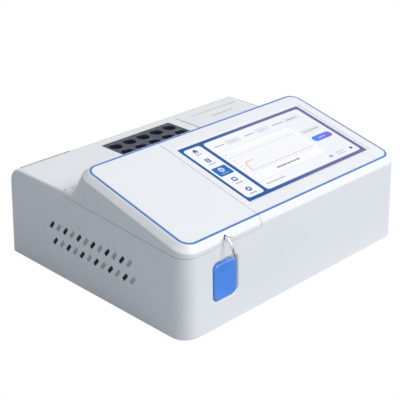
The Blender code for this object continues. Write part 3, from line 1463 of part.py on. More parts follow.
def make_optics(frame, looks, pivot):
    """Lamp, filter wheel, flow cell and detector along one beam."""
    base = BAY_FLOOR + BAY_WALL + GAP
    half = LAMP_WIDTH / 2
    lamp_end = LAMP_X + LAMP_LENGTH
    housing = box((LAMP_X, BEAM_Y - half, base), (lamp_end, BEAM_Y + half, base + LAMP_TALL), frame)
    bore = rod((LAMP_X + WALL, BEAM_Y, BEAM_HEIGHT), (lamp_end + OVERRUN, BEAM_Y, BEAM_HEIGHT), LAMP_BORE, frame)
    cut(housing, bore)
    for number in range(LAMP_FINS):
        z = base + LAMP_TALL * (1 - (number + 1) / (LAMP_FINS * 3))
        low = (LAMP_X - OVERRUN, BEAM_Y - half - OVERRUN, z - LAMP_SLOT / 2)
        cut(housing, box(low, (LAMP_X + LAMP_SLOT, BEAM_Y + half + OVERRUN, z + LAMP_SLOT / 2), frame))
    finish(housing, "lamp_housing", looks["alloy"])
    start = (LAMP_X + WALL + GAP, BEAM_Y, BEAM_HEIGHT)
    lamp = rod(start, (LAMP_X + WALL + LAMP_REACH / 2, BEAM_Y, BEAM_HEIGHT), LAMP_BORE - GAP, frame)
    end = (LAMP_X + WALL + LAMP_REACH, BEAM_Y, BEAM_HEIGHT)
    middle = (LAMP_X + WALL + LAMP_REACH / 3, BEAM_Y, BEAM_HEIGHT)
    join(lamp, rod(middle, end, LAMP_RADIUS, frame, SMALL_SIDES, LAMP_RADIUS / 2))
    finish(lamp, "lamp", looks["clear"])

    y, z = wheel_centre()
    left, right = WHEEL_X - WHEEL_SHEET / 2, WHEEL_X + WHEEL_SHEET / 2
    wheel = rod((left, y, z), (right, y, z), WHEEL_RADIUS, frame, ROUND_SIDES * 2)
    holes = [rod((left - OVERRUN, y, z), (right + OVERRUN, y, z), WHEEL_SHAFT_RADIUS + GAP, frame, SMALL_SIDES)]
    reach = WHEEL_RADIUS * WHEEL_FILTER_SHARE
    for number in range(WHEEL_FILTERS):
        angle = pi + WHEEL_ANGLE + number * 2 * pi / WHEEL_FILTERS
        spot = (y + reach * cos(angle), z + reach * sin(angle))
        holes.append(rod((left - OVERRUN, *spot), (right + OVERRUN, *spot), WHEEL_FILTER_RADIUS, frame, SMALL_SIDES))
    finish(cut(wheel, gather(holes)), "filter_wheel", looks["dark"], pivot)
    block_left = CELL_X - CELL_WIDTH / 2
    start = (right + RUNNING_GAP, y, z)
    motor = rod(start, (block_left - GAP, y, z), FILTER_MOTOR_RADIUS, frame)
    join(motor, rod((left - GAP, y, z), (block_left - GAP * 2, y, z), WHEEL_SHAFT_RADIUS, frame, SMALL_SIDES))
    finish(motor, "filter_motor", looks["bright"])

    half = CELL_LENGTH / 2
    block_right = CELL_X + CELL_WIDTH / 2
    block = box((block_left, BEAM_Y - half, base), (block_right, BEAM_Y + half, base + CELL_TALL), frame)
    seat = base + WALL
    beam = rod((block_left - OVERRUN, BEAM_Y, BEAM_HEIGHT), (block_right + OVERRUN, BEAM_Y, BEAM_HEIGHT), BEAM_BORE, frame, SMALL_SIDES)
    cut(block, rod((CELL_X, BEAM_Y, seat), (CELL_X, BEAM_Y, base + CELL_TALL + OVERRUN), CELL_RADIUS + GAP, frame), beam)
    finish(block, "cell_block", looks["alloy"])
    cell = rod((CELL_X, BEAM_Y, seat + GAP), (CELL_X, BEAM_Y, cell_top()), CELL_RADIUS, frame)
    finish(cell, "flow_cell", looks["clear"])

    half = DETECTOR_SIZE / 2
    low = (DETECTOR_X, BEAM_Y - half, base)
    board = box(low, (DETECTOR_X + BOARD_THICKNESS, BEAM_Y + half, base + DETECTOR_SIZE), frame)
    start = (DETECTOR_X - DETECTOR_CAN_LENGTH, BEAM_Y, BEAM_HEIGHT)
    join(board, rod(start, (DETECTOR_X + BOARD_THICKNESS / 2, BEAM_Y, BEAM_HEIGHT), DETECTOR_CAN_RADIUS, frame))
    finish(board, "detector_board", looks["board"])


# Incubator


def incubator_space(gap, low, high, frame):
    half = INCUBATOR_WIDTH / 2 + gap
    front = INCUBATOR_BACK - INCUBATOR_DEPTH - gap
    return box((INCUBATOR_X - half, front, low), (INCUBATOR_X + half, INCUBATOR_BACK + gap, high), frame)


def make_incubator(frame, looks):
    """The tube block set in the deck, its heater and the stand below."""
    block = incubator_space(0.0, INCUBATOR_FLOOR, DECK_HEIGHT, frame)
    middle = INCUBATOR_BACK - INCUBATOR_DEPTH / 2
    holes = []
    for column in range(HOLE_COLUMNS):
        for row in range(HOLE_ROWS):
            x = INCUBATOR_X + (column - (HOLE_COLUMNS - 1) / 2) * HOLE_PITCH
            y = middle + (row - (HOLE_ROWS - 1) / 2) * HOLE_PITCH
            holes.append(rod((x, y, DECK_HEIGHT - HOLE_DEPTH), (x, y, DECK_HEIGHT + OVERRUN), HOLE_RADIUS, frame))
    finish(cut(block, gather(holes)), "incubator_block", looks["incubator"])

    heater_top = INCUBATOR_FLOOR - GAP
    heater = incubator_space(-STAND_INSET, heater_top - HEATER_THICKNESS, heater_top, frame)
    finish(heater, "heater_plate", looks["heater"])
    top = heater_top - HEATER_THICKNESS - GAP
    stand = incubator_space(-STAND_INSET, top - STAND_SHEET, top, frame)
    half = INCUBATOR_WIDTH / 2 - STAND_INSET
    front = INCUBATOR_BACK - INCUBATOR_DEPTH + STAND_INSET
    back = INCUBATOR_BACK - STAND_INSET
    for side in (-1, 1):
        x = sorted((INCUBATOR_X + side * half, INCUBATOR_X + side * (half - STAND_SHEET)))
        join(stand, box((x[0], front, FLOOR_LEVEL), (x[1], back, top - STAND_SHEET / 2), frame))
        x = sorted((INCUBATOR_X + side * half, INCUBATOR_X + side * (half - INCUBATOR_DEPTH / 3)))
        join(stand, box((x[0], front, FLOOR_LEVEL), (x[1], back, FLOOR_LEVEL + STAND_SHEET), frame))
    finish(stand, "incubator_stand", looks["steel"])


# Printer


def make_printer_door(frame, looks, pivot):
    """The printer door: a lid with a round hinge edge, a grip slit and two ears for the platen."""
    low = DECK_HEIGHT - DOOR_SHEET
    outline = arc((DOOR_HINGE_Y, HINGE_HEIGHT), HINGE_RADIUS, pi / 2, pi * 3 / 2, CORNER_STEPS + 1)
    outline += [(DOOR_HINGE_Y + HINGE_RADIUS, outline[-1][1]), (DOOR_HINGE_Y + HINGE_RADIUS * 2, low)]
    outline += [(DOOR_REAR, low), (DOOR_REAR, DECK_HEIGHT)]
    door = slab([outline], "X", DOOR_LEFT, DOOR_RIGHT, frame)
    slit = PAPER_SLIT_WIDTH / 2
    mouth = box(
        (PAPER_X - slit, DOOR_REAR - PAPER_SLIT_EXTRA, low - OVERRUN),
        (PAPER_X + slit, DOOR_REAR + OVERRUN, DECK_HEIGHT + OVERRUN),
        frame,
    )
    half = GRIP_WIDTH / 2
    grip = box(
        (PAPER_X - half, GRIP_Y - GRIP_SLIT / 2, DECK_HEIGHT - GRIP_DEPTH),
        (PAPER_X + half, GRIP_Y + GRIP_SLIT / 2, DECK_HEIGHT + OVERRUN),
        frame,
    )
    cut(door, mouth, grip)
    height = DECK_HEIGHT - PLATEN_DROP
    for side in (-1, 1):
        inner = PAPER_X + side * (ROLL_WIDTH / 2 + RUNNING_GAP * 2)
        x = sorted((inner, inner + side * PLATEN_EAR))
        radius = PLATEN_AXLE * 2
        ear = box((x[0], PLATEN_Y - radius, height), (x[1], PLATEN_Y + radius, low + DOOR_SHEET / 2), frame)
        join(ear, rod((x[0], PLATEN_Y, height), (x[1], PLATEN_Y, height), radius, frame))
        join(door, ear)
        start = (x[0] - OVERRUN, PLATEN_Y, height)
        cut(door, rod(start, (x[1] + OVERRUN, PLATEN_Y, height), PLATEN_AXLE + GAP, frame, SMALL_SIDES))
    cut(door, hinge_bore(DOOR_LEFT - OVERRUN, DOOR_RIGHT + OVERRUN, DOOR_HINGE_Y, frame))
    finish(door, "printer_door", looks["white"], pivot)


def make_printer(frame, looks, platen_pivot, roll_pivot):
    """Paper tray, roll on its spindle, platen and print head."""
    top = DECK_HEIGHT - WALL - GAP * 2
    left = DOOR_LEFT - SEAM - RUNNING_GAP - TRAY_WALL
    right = half_width_at(top) - WALL - GAP
    front = DOOR_FRONT - RUNNING_GAP - TRAY_WALL
    back = TRAY_BACK + TRAY_WALL
    tray = box((left, front, TRAY_FLOOR), (right, back, top), frame)
    cut(
        tray,
        box(
            (left + TRAY_WALL, front + TRAY_WALL, TRAY_FLOOR + TRAY_WALL),
            (right - TRAY_WALL, TRAY_BACK, top + OVERRUN),
            frame,
        ),
    )
    spindle = ROLL_BORE / 2
    for side in (-1, 1):
        inner = PAPER_X + side * (ROLL_WIDTH / 2 + RUNNING_GAP * 2)
        x = sorted((inner, inner + side * CRADLE_THICKNESS))
        low = (x[0], front + TRAY_WALL / 2, TRAY_FLOOR + TRAY_WALL / 2)
        rib = box(low, (x[1], ROLL_Y + ROLL_RADIUS / 2, ROLL_HEIGHT + spindle), frame)
        slot = spindle + GAP
        start = (x[0] - OVERRUN, ROLL_Y, ROLL_HEIGHT)
        mouth = box((x[0] - OVERRUN, ROLL_Y - slot, ROLL_HEIGHT), (x[1] + OVERRUN, ROLL_Y + slot, top), frame)
        cut(rib, mouth, rod(start, (x[1] + OVERRUN, ROLL_Y, ROLL_HEIGHT), slot, frame))
        join(tray, rib)
    hinge_low = HINGE_HEIGHT - PIN_BOSS_DEPTH - RUNNING_GAP
    relief = DOOR_HINGE_Y + HINGE_RADIUS * 2 + RUNNING_GAP
    cut(tray, box((left - OVERRUN, front - OVERRUN, hinge_low), (right + OVERRUN, relief, top + OVERRUN), frame))
    for x in (left + TRAY_LEG, right - TRAY_LEG * 2):
        leg = box((x, ROLL_Y, FLOOR_LEVEL), (x + TRAY_LEG, ROLL_Y + TRAY_LEG, TRAY_FLOOR + TRAY_WALL / 2), frame)
        join(tray, leg)
    finish(tray, "printer_tray", looks["grey"])

    half = ROLL_WIDTH / 2
    start, end = (PAPER_X - half, ROLL_Y, ROLL_HEIGHT), (PAPER_X + half, ROLL_Y, ROLL_HEIGHT)
    roll = rod(start, end, ROLL_RADIUS, frame, ROUND_SIDES * 2)
    low, high = (start[0] - OVERRUN, *start[1:]), (end[0] + OVERRUN, *end[1:])
    finish(cut(roll, rod(low, high, ROLL_BORE, frame)), "paper_roll", looks["paper"], roll_pivot)
    spool = rod(start, end, ROLL_BORE - GAP, frame)
    low, high = (start[0] - SPINDLE_OVERHANG, *start[1:]), (end[0] + SPINDLE_OVERHANG, *end[1:])
    finish(join(spool, rod(low, high, spindle, frame)), "paper_spindle", looks["dark"], roll_pivot)

    height = DECK_HEIGHT - PLATEN_DROP
    reach = half + PLATEN_EAR + RUNNING_GAP * 3
    platen = rod((PAPER_X - half, PLATEN_Y, height), (PAPER_X + half, PLATEN_Y, height), PLATEN_RADIUS, frame)
    axle = rod((PAPER_X - reach, PLATEN_Y, height), (PAPER_X + reach, PLATEN_Y, height), PLATEN_AXLE, frame, SMALL_SIDES)
    finish(join(platen, axle), "platen_roller", looks["rubber"], platen_pivot)

    face = PLATEN_Y + PLATEN_RADIUS + RUNNING_GAP * 2
    half = HEAD_WIDTH / 2
    high = top - RUNNING_GAP
    head = box((PAPER_X - half, face, high - HEAD_HEIGHT), (PAPER_X + half, face + HEAD_THICKNESS, high), frame)
    arm = HEAD_WIDTH / 8
    for side in (-1, 1):
        x = sorted((PAPER_X + side * (half - arm / 2), PAPER_X + side * (half - arm * 3 / 2)))
        low = (x[0], face + HEAD_THICKNESS / 2, high - HEAD_HEIGHT * 3 / 4)
        join(head, box(low, (x[1], TRAY_BACK - GAP, high - HEAD_HEIGHT / 2), frame))
    finish(head, "print_head", looks["dark"])


def make_hinge_pins(frame, looks):
    """Steel pins of the left cover and the printer door."""
    left = PIN_CLEARANCE_SIDE - HALF_WIDTH + WALL + GAP
    right = COVER_EDGE + PIN_BOSS_LENGTH - GAP
    start = (left, COVER_HINGE_Y, HINGE_HEIGHT)
    pin = rod(start, (right, COVER_HINGE_Y, HINGE_HEIGHT), PIN_RADIUS, frame, SMALL_SIDES)
    finish(pin, "cover_hinge_pin", looks["bright"])
    start = (DOOR_LEFT - PIN_BOSS_LENGTH + GAP, DOOR_HINGE_Y, HINGE_HEIGHT)
    pin = rod(start, (DOOR_RIGHT + WALL - GAP, DOOR_HINGE_Y, HINGE_HEIGHT), PIN_RADIUS, frame, SMALL_SIDES)
    finish(pin, "door_hinge_pin", looks["bright"])


# Rear wall: socket plate, drain and fan


def socket(centre, width, height, depth, rear):
    """A panel socket's body with a flange that sits on the rear plate."""
    face = GAP * 2 + REAR_PLATE_SHEET
    x, z = centre
    rim = FLANGE_RIM
    body = box((x - width / 2, face - depth, z - height / 2), (x + width / 2, face + FLANGE / 2, z + height / 2), rear)
    low = (x - width / 2 - rim, face, z - height / 2 - rim)
    flange = box(low, (x + width / 2 + rim, face + FLANGE, z + height / 2 + rim), rear)
    return join(body, flange)


def well(centre, width, height, depth, rear):
    """The cavity in a socket's face."""
    face = GAP * 2 + REAR_PLATE_SHEET + FLANGE
    x, z = centre
    low = (x - width / 2, face - depth, z - height / 2)
    return box(low, (x + width / 2, face + OVERRUN, z + height / 2), rear)


def socket_centres():
    """Where the sockets sit on the rear plate, across and up."""
    left = REAR_PLATE_X - REAR_PLATE_WIDTH / 2
    right = REAR_PLATE_X + REAR_PLATE_WIDTH / 2
    upper = REAR_PLATE_TOP - SOCKET_TOP_MARGIN - FLANGE_RIM - INLET_HEIGHT / 2
    lower = REAR_PLATE_TOP - REAR_PLATE_HEIGHT + SOCKET_MARGIN + FLANGE_RIM + SERIAL_HEIGHT / 2
    return {
        "inlet": (left + SOCKET_EDGE + INLET_WIDTH / 2, upper),
        "switch": (right - SOCKET_EDGE - SWITCH_WIDTH / 2, upper),
        "serial": (left + SOCKET_EDGE + SERIAL_WIDTH / 2, lower),
        "usb": (right - SOCKET_EDGE - USB_WIDTH / 2, lower),
    }


def make_rear_plate(rear, looks):
    """The dark socket plate and its screws."""
    side = REAR_PLATE_WIDTH / 2
    low = (REAR_PLATE_X - side, REAR_PLATE_TOP - REAR_PLATE_HEIGHT)
    outline = rounded(low, (REAR_PLATE_X + side, REAR_PLATE_TOP), SCREW_SHANK, 2)
    plate = slab([outline], "Y", GAP, GAP + REAR_PLATE_SHEET, rear)
    holes = []
    sizes = {
        "inlet": (INLET_WIDTH, INLET_HEIGHT),
        "switch": (SWITCH_WIDTH, SWITCH_HEIGHT),
        "serial": (SERIAL_WIDTH, SERIAL_HEIGHT),
        "usb": (USB_WIDTH, USB_HEIGHT),
    }
    for name, (x, z) in socket_centres().items():
        width, height = sizes[name][0] / 2 + GAP, sizes[name][1] / 2 + GAP
        holes.append(box((x - width, -OVERRUN, z - height), (x + width, OVERRUN, z + height), rear))
    for x, z in screw_places():
        holes.append(rod((x, -OVERRUN, z), (x, OVERRUN, z), SCREW_SHANK + GAP, rear, SMALL_SIDES))
    finish(cut(plate, gather(holes)), "rear_plate", looks["dark"])
    face = GAP * 2 + REAR_PLATE_SHEET
    for number, (x, z) in enumerate(screw_places(), 1):
        screw = rod((x, face, z), (x, face + SCREW_HEAD, z), SCREW_RADIUS, rear, SMALL_SIDES, SCREW_RADIUS * SCREW_CROWN_SHARE)
        join(screw, rod((x, face + SCREW_HEAD / 2, z), (x, face - SCREW_LENGTH, z), SCREW_SHANK, rear, SMALL_SIDES))
        finish(screw, f"rear_plate_screw_{number}", looks["bright"])


def make_sockets(rear, looks, pivot):
    """Mains inlet, power switch with its rocker, serial port and USB port."""
    places = socket_centres()
    face = GAP * 2 + REAR_PLATE_SHEET + FLANGE

    x, z = places["inlet"]
    inlet = socket((x, z), INLET_WIDTH, INLET_HEIGHT, INLET_DEPTH, rear)
    cut(inlet, well((x, z), INLET_SOCKET_WIDTH, INLET_SOCKET_HEIGHT, INLET_SOCKET_DEPTH, rear))
    for across, up in BLADE_SHARES:
        bx, bz = x + across * BLADE_PITCH, z + up * BLADE_PITCH
        low = (bx - BLADE_THICKNESS / 2, face - INLET_SOCKET_DEPTH - GAP, bz - BLADE_WIDTH / 2)
        high = (bx + BLADE_THICKNESS / 2, face - INLET_SOCKET_DEPTH + BLADE_LENGTH, bz + BLADE_WIDTH / 2)
        join(inlet, box(low, high, rear))
    finish(inlet, "power_inlet", looks["dark"])

    x, z = places["switch"]
    switch = socket((x, z), SWITCH_WIDTH, SWITCH_HEIGHT, SWITCH_DEPTH, rear)
    inner_width = SWITCH_WIDTH - FLANGE_RIM
    inner_height = SWITCH_HEIGHT - FLANGE_RIM
    cut(switch, well((x, z), inner_width, inner_height, SWITCH_DEPTH / 2, rear))
    finish(switch, "power_switch", looks["dark"])
    side = inner_width / 2 - RUNNING_GAP
    half = inner_height / 2 - RUNNING_GAP
    depth = SWITCH_DEPTH / 2 - half * sin(ROCKER_TILT) * 2 - RUNNING_GAP
    pivot_y = face - depth / 2
    turn = Matrix.Rotation(-ROCKER_TILT, 2)
    outline = [
        (-depth / 2, -half + ROCKER_PROUD / 2),
        (-depth / 2, half - ROCKER_PROUD / 2),
        (depth / 2 + ROCKER_PROUD / 2, half - RUNNING_GAP),
        (depth / 2, 0.0),
        (depth / 2 + ROCKER_PROUD / 2, RUNNING_GAP - half),
    ]
    outline = [tuple(turn @ Vector(point) + Vector((pivot_y, z))) for point in outline]
    finish(slab([outline], "X", x - side, x + side, rear), "power_rocker", looks["dark"], pivot)

    x, z = places["serial"]
    serial = socket((x, z), SERIAL_WIDTH, SERIAL_HEIGHT, SERIAL_DEPTH, rear)
    loops = []
    for thick in (0.0, FLANGE / 2):
        side, up = SERIAL_SHELL_WIDTH / 2 - thick, SERIAL_SHELL_HEIGHT / 2 - thick
        loops.append([(x - side, z + up), (x - side * SHELL_SHARE, z - up), (x + side * SHELL_SHARE, z - up), (x + side, z + up)])
    shell = slab([loops[0]], "Y", face - GAP, face + SERIAL_SHELL_PROUD, rear)
    hollow = slab([loops[1]], "Y", face + GAP, face + SERIAL_SHELL_PROUD + OVERRUN, rear)
    finish(join(serial, cut(shell, hollow)), "serial_port", looks["bright"])

    x, z = places["usb"]
    usb = socket((x, z), USB_WIDTH, USB_HEIGHT, USB_DEPTH, rear)
    inner_width, inner_height = USB_WIDTH - FLANGE_RIM * 2, USB_HEIGHT - FLANGE_RIM * 2
    cut(usb, well((x, z), inner_width, inner_height, USB_DEPTH * 2 / 3, rear))
    low = (x - inner_width / 4, face - USB_DEPTH * 2 / 3 - GAP, z - inner_height / 5)
    join(usb, box(low, (x + inner_width / 4, face - FLANGE, z + inner_height / 5), rear))
    finish(usb, "usb_port", looks["bright"])


def make_drain_fitting(rear, looks):
    """The barbed outlet that the drain tube ends at."""
    step = WASTE_LENGTH / 4
    outer = GAP + FLANGE
    profile = [(0.0, outer + WASTE_LENGTH), (WASTE_RADIUS * BARB_SHARE, outer + WASTE_LENGTH)]
    for number in range(3, 0, -1):
        profile.append((WASTE_RADIUS, outer + step * number))
        profile.append((WASTE_RADIUS * BARB_SHARE, outer + step * number - step / 8))
    profile += [
        (WASTE_RADIUS * BARB_SHARE, outer),
        (WASTE_FLANGE_RADIUS, outer),
        (WASTE_FLANGE_RADIUS, GAP),
        (WASTE_RADIUS, GAP),
        (WASTE_RADIUS, -WALL - WASTE_SPIGOT),
        (0.0, -WALL - WASTE_SPIGOT),
    ]
    place = Matrix.Translation((WASTE_X, 0, WASTE_HEIGHT)) @ Matrix.Rotation(-pi / 2, 4, "X")
    fitting = turned(profile, SMALL_SIDES, place, rear)
    start = (WASTE_X, outer, WASTE_HEIGHT)
    end = (WASTE_X, outer + WASTE_LENGTH + OVERRUN, WASTE_HEIGHT)
    finish(cut(fitting, rod(start, end, WASTE_BORE, rear, SMALL_SIDES)), "drain_fitting", looks["light_plastic"])


def make_fan(rear, looks, pivot):
    """The fan: a square frame with struts and a hub, and a bladed rotor."""
    back = -WALL - GAP
    front = back - FAN_THICKNESS
    half = FAN_SIZE / 2
    centre = (FAN_X, FAN_HEIGHT)
    loops = [
        rounded((FAN_X - half, FAN_HEIGHT - half), (FAN_X + half, FAN_HEIGHT + half), FAN_SIZE / 16, 3),
        arc(centre, FAN_BORE_RADIUS, 0, 2 * pi, ROUND_SIDES * 2)[:-1],
    ]
    fan = slab(loops, "Y", front, back, rear)
    hub_end = front + FAN_STRUT
    hub = rod((FAN_X, front, FAN_HEIGHT), (FAN_X, hub_end, FAN_HEIGHT), FAN_HUB_RADIUS, rear)
    reach = FAN_BORE_RADIUS + FAN_STRUT / 2
    thin = FAN_STRUT / 2
    bars = box((FAN_X - reach, front, FAN_HEIGHT - thin), (FAN_X + reach, hub_end - GAP, FAN_HEIGHT + thin), rear)
    join(bars, box((FAN_X - thin, front, FAN_HEIGHT - reach), (FAN_X + thin, hub_end - GAP, FAN_HEIGHT + reach), rear))
    finish(join(fan, join(hub, bars)), "fan_frame", looks["dark"])

    low, high = hub_end + RUNNING_GAP, back - RUNNING_GAP * 2
    rotor = rod((FAN_X, low, FAN_HEIGHT), (FAN_X, high, FAN_HEIGHT), FAN_HUB_RADIUS, rear)
    middle = Vector((FAN_X, (low + high) / 2, FAN_HEIGHT))
    for number in range(FAN_BLADES):
        chord, sheet = FAN_BLADE_CHORD / 2, FAN_BLADE_SHEET / 2
        blade = box((FAN_HUB_RADIUS * 3 / 4, -chord, -sheet), (FAN_BLADE_RADIUS, chord, sheet), rear)
        pitch = Matrix.Rotation(FAN_BLADE_PITCH, 4, "X")
        spin = Matrix.Rotation(number * 2 * pi / FAN_BLADES, 4, "Y")
        blade.data.transform(Matrix.Translation(middle) @ spin @ pitch)
        join(rotor, blade)
    finish(rotor, "fan_rotor", looks["dark"], pivot)


# Boards on the base plate


def make_base_boards(frame, looks):
    """The power supply behind the bay and the control board under the screen."""
    level = FLOOR_LEVEL + STANDOFF_HEIGHT
    boards = (
        ("power_supply", SUPPLY_X, SUPPLY_Y, SUPPLY_WIDTH, SUPPLY_LENGTH, SUPPLY_SHARES, SUPPLY_PART_HEIGHT),
        ("control_board", CONTROL_X, CONTROL_Y, CONTROL_WIDTH, CONTROL_LENGTH, CONTROL_SHARES, CONTROL_PART_HEIGHT),
    )
    for name, x, y, width, length, shares, tall in boards:
        low = (x - width / 2, y - length / 2, level)
        high = (x + width / 2, y + length / 2, level + BOARD_THICKNESS)
        board = board_with_parts(low, high, shares, tall, 1, frame)
        inset = STANDOFF_RADIUS * 3 / 2
        for sx in (low[0] + inset, high[0] - inset):
            for sy in (low[1] + inset, high[1] - inset):
                top = level + BOARD_THICKNESS / 2
                join(board, rod((sx, sy, FLOOR_LEVEL), (sx, sy, top), STANDOFF_RADIUS, frame, SMALL_SIDES))
        finish(board, name, looks["board"])


def make_frames():
    """The frames that pieces are laid out in, and the axes that moving pieces turn about."""
    case = empty("case_frame", (0, 0, FOOT_HEIGHT), (0, 0, 0), None)
    rear = empty("rear_frame", (0, HALF_DEPTH, 0), (DRAFT, 0, 0), case)
    front = empty("front_frame", (0, -HALF_DEPTH, 0), (-DRAFT, 0, 0), case)
    frames = {
        "case": case,
        "rear": rear,
        "front": front,
        "left": empty("left_frame", (-HALF_WIDTH, 0, 0), (0, DRAFT, 0), case),
        "panel": empty("panel_frame", (0, PANEL_FRONT, PANEL_FRONT_HEIGHT), (PANEL_SLOPE, 0, 0), case),
    }
    base = BAY_FLOOR + BAY_WALL + GAP
    x, z = socket_centres()["switch"]
    face = GAP * 2 + REAR_PLATE_SHEET + FLANGE
    rocker_half = (SWITCH_HEIGHT - FLANGE_RIM) / 2 - RUNNING_GAP
    rocker_depth = SWITCH_DEPTH / 2 - rocker_half * sin(ROCKER_TILT) * 2 - RUNNING_GAP
    door = empty("door_hinge", (PRINTER_X, DOOR_HINGE_Y, HINGE_HEIGHT), (0, 0, 0), case)
    platen = (PAPER_X - PRINTER_X, PLATEN_Y - DOOR_HINGE_Y, HINGE_RADIUS - PLATEN_DROP)
    fan_middle = -WALL - GAP - FAN_THICKNESS / 2
    pivots = {
        "cover": empty("cover_hinge", (COVER_EDGE - COVER_WIDTH / 2, COVER_HINGE_Y, HINGE_HEIGHT), (0, 0, 0), case),
        "door": door,
        "platen": empty("platen_axis", platen, (0, 0, 0), door),
        "roll": empty("roll_axis", (PAPER_X, ROLL_Y, ROLL_HEIGHT), (0, 0, 0), case),
        "key": empty("key_hinge", (KEY_X, KEY_PIVOT_DEPTH, KEY_PIVOT_HEIGHT), (0, 0, 0), front),
        "rocker": empty("rocker_hinge", (x, face - rocker_depth / 2, z), (0, 0, 0), rear),
        "fan": empty("fan_axis", (FAN_X, fan_middle, FAN_HEIGHT), (0, 0, 0), rear),
        "pump": empty("pump_axis", (PUMP_X, PUMP_Y, base), (0, 0, 0), case),
        "wheel": empty("wheel_axis", (WHEEL_X, *wheel_centre()), (0, 0, 0), case),
    }
    return frames, pivots


def make_looks():
    """The materials."""
    return {
        "white": material("white_plastic", (0.80, 0.81, 0.83), 0.42),
        "blue_line": material("blue_line", (0.08, 0.22, 0.66), 0.35),
        "key_blue": material("key_blue", (0.08, 0.25, 0.77), 0.38),
        "glass": material("touch_glass", (0.80, 0.85, 0.95), 0.05),
        "screen": material("screen", (0.75, 0.78, 0.90), 0.25),
        "incubator": material("incubator_metal", (0.055, 0.062, 0.08), 0.45, 0.3),
        "heater": material("heater_film", (0.45, 0.16, 0.05), 0.5),
        "steel": material("galvanised_steel", (0.55, 0.57, 0.58), 0.4, 0.9),
        "bright": material("bright_metal", (0.62, 0.63, 0.65), 0.22, 1.0),
        "alloy": material("anodised_alloy", (0.42, 0.44, 0.47), 0.4, 0.8),
        "dark": material("dark_plastic", (0.03, 0.032, 0.036), 0.45),
        "grey": material("grey_plastic", (0.42, 0.44, 0.46), 0.5),
        "light_plastic": material("light_plastic", (0.7, 0.7, 0.68), 0.4),
        "rubber": material("black_rubber", (0.02, 0.02, 0.02), 0.8),
        "paper": material("thermal_paper", (0.85, 0.84, 0.80), 0.7),
        "silicone": material("silicone_tube", (0.78, 0.75, 0.66), 0.45),
        "clear": material("clear_tube", (0.80, 0.84, 0.86), 0.15),
        "board": material("circuit_board", (0.02, 0.16, 0.08), 0.5),
    }


start_scene()
FRAMES, PIVOTS = make_frames()
LOOKS = make_looks()
CASE = FRAMES["case"]
REAR = FRAMES["rear"]
make_casing_and_cover(FRAMES, LOOKS, PIVOTS["cover"])
make_stripes(FRAMES["panel"], LOOKS, PIVOTS["cover"])
make_base(CASE, LOOKS)
make_display(FRAMES["panel"], LOOKS)
make_key(FRAMES["front"], LOOKS, PIVOTS["key"])
make_needle(CASE, LOOKS)
make_bay(CASE, LOOKS)
make_pump(CASE, LOOKS, PIVOTS["pump"])
make_optics(CASE, LOOKS, PIVOTS["wheel"])
make_tubes(CASE, LOOKS)
make_incubator(CASE, LOOKS)
make_printer_door(CASE, LOOKS, PIVOTS["door"])
make_printer(CASE, LOOKS, PIVOTS["platen"], PIVOTS["roll"])
make_hinge_pins(CASE, LOOKS)
make_rear_plate(REAR, LOOKS)
make_sockets(REAR, LOOKS, PIVOTS["rocker"])
make_drain_fitting(REAR, LOOKS)
make_fan(REAR, LOOKS, PIVOTS["fan"])
make_base_boards(CASE, LOOKS)
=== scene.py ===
"""Looks for a bench-top biochemistry analyzer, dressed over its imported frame."""

from math import cos, pi, radians, sin, tan

import bmesh
import bpy
import numpy as np
from mathutils import Matrix, Vector


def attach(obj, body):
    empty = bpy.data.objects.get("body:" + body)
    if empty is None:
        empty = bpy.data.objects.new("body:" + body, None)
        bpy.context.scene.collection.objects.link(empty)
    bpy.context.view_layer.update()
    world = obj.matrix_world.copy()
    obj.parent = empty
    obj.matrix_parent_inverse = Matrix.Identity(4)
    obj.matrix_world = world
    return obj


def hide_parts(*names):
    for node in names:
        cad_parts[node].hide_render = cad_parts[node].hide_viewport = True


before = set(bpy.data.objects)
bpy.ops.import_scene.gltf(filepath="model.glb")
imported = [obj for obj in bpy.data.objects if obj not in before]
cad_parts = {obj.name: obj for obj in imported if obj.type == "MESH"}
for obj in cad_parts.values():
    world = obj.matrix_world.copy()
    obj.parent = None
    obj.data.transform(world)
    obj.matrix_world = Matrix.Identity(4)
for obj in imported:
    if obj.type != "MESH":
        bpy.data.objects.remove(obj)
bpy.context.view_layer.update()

MM = 0.001
MERGED, SLIVER = 2e-6, 1e-6


# Moulded white housing. The upper casing is one injection moulding: a low rear deck and a raised
# wedge with a sloping panel, drafted 1.3 degrees on every wall so that it leaves its mould.
# Lengths in this file are millimetres above the casing's rim; the feet lift that rim off the bench.
# A tool that cuts a wall reaches beyond it by PAST.

FOOT_LIFT = 4.0
HALF_WIDTH, HALF_DEPTH = 138.9, 112.95
DECK_TOP = 83.7
WALL = 2.5
SEAM = 0.5
PAST = 3.0
DRAFT = radians(1.29)
FRONT_RADIUS = 15.0
FRONT_BAND, BACK_BAND, BAND_DROP = 6.75, 6.6, 5.8
BAND_BENDS = (((0, 1), (0, 0.913), (0.14, 0.751)), ((0.6, 0.218), (0.788, 0), (1, 0)))
PANEL_SLOPE = radians(13.37)
PANEL_HALF, PANEL_LENGTH, PANEL_RADIUS = 130.1, 121.1, 9.5
PANEL_FRONT = FRONT_BAND - HALF_DEPTH
PANEL_LOW = 81.0
PANEL_REAR = PANEL_FRONT + PANEL_LENGTH * cos(PANEL_SLOPE)
PANEL_HIGH = PANEL_LOW + PANEL_LENGTH * sin(PANEL_SLOPE)
BACK_LEAN = radians(31.6)
BACK_EDGE = PANEL_REAR + BACK_BAND
BACK_EDGE_HEIGHT = PANEL_HIGH + BACK_BAND * tan(PANEL_SLOPE) - BAND_DROP
WEDGE_TOP = PANEL_HIGH + BACK_BAND
DECK_FRONT = 0.4
DECK_REAR_RADIUS, DECK_SIDE_RADIUS = 14.0, 2.3


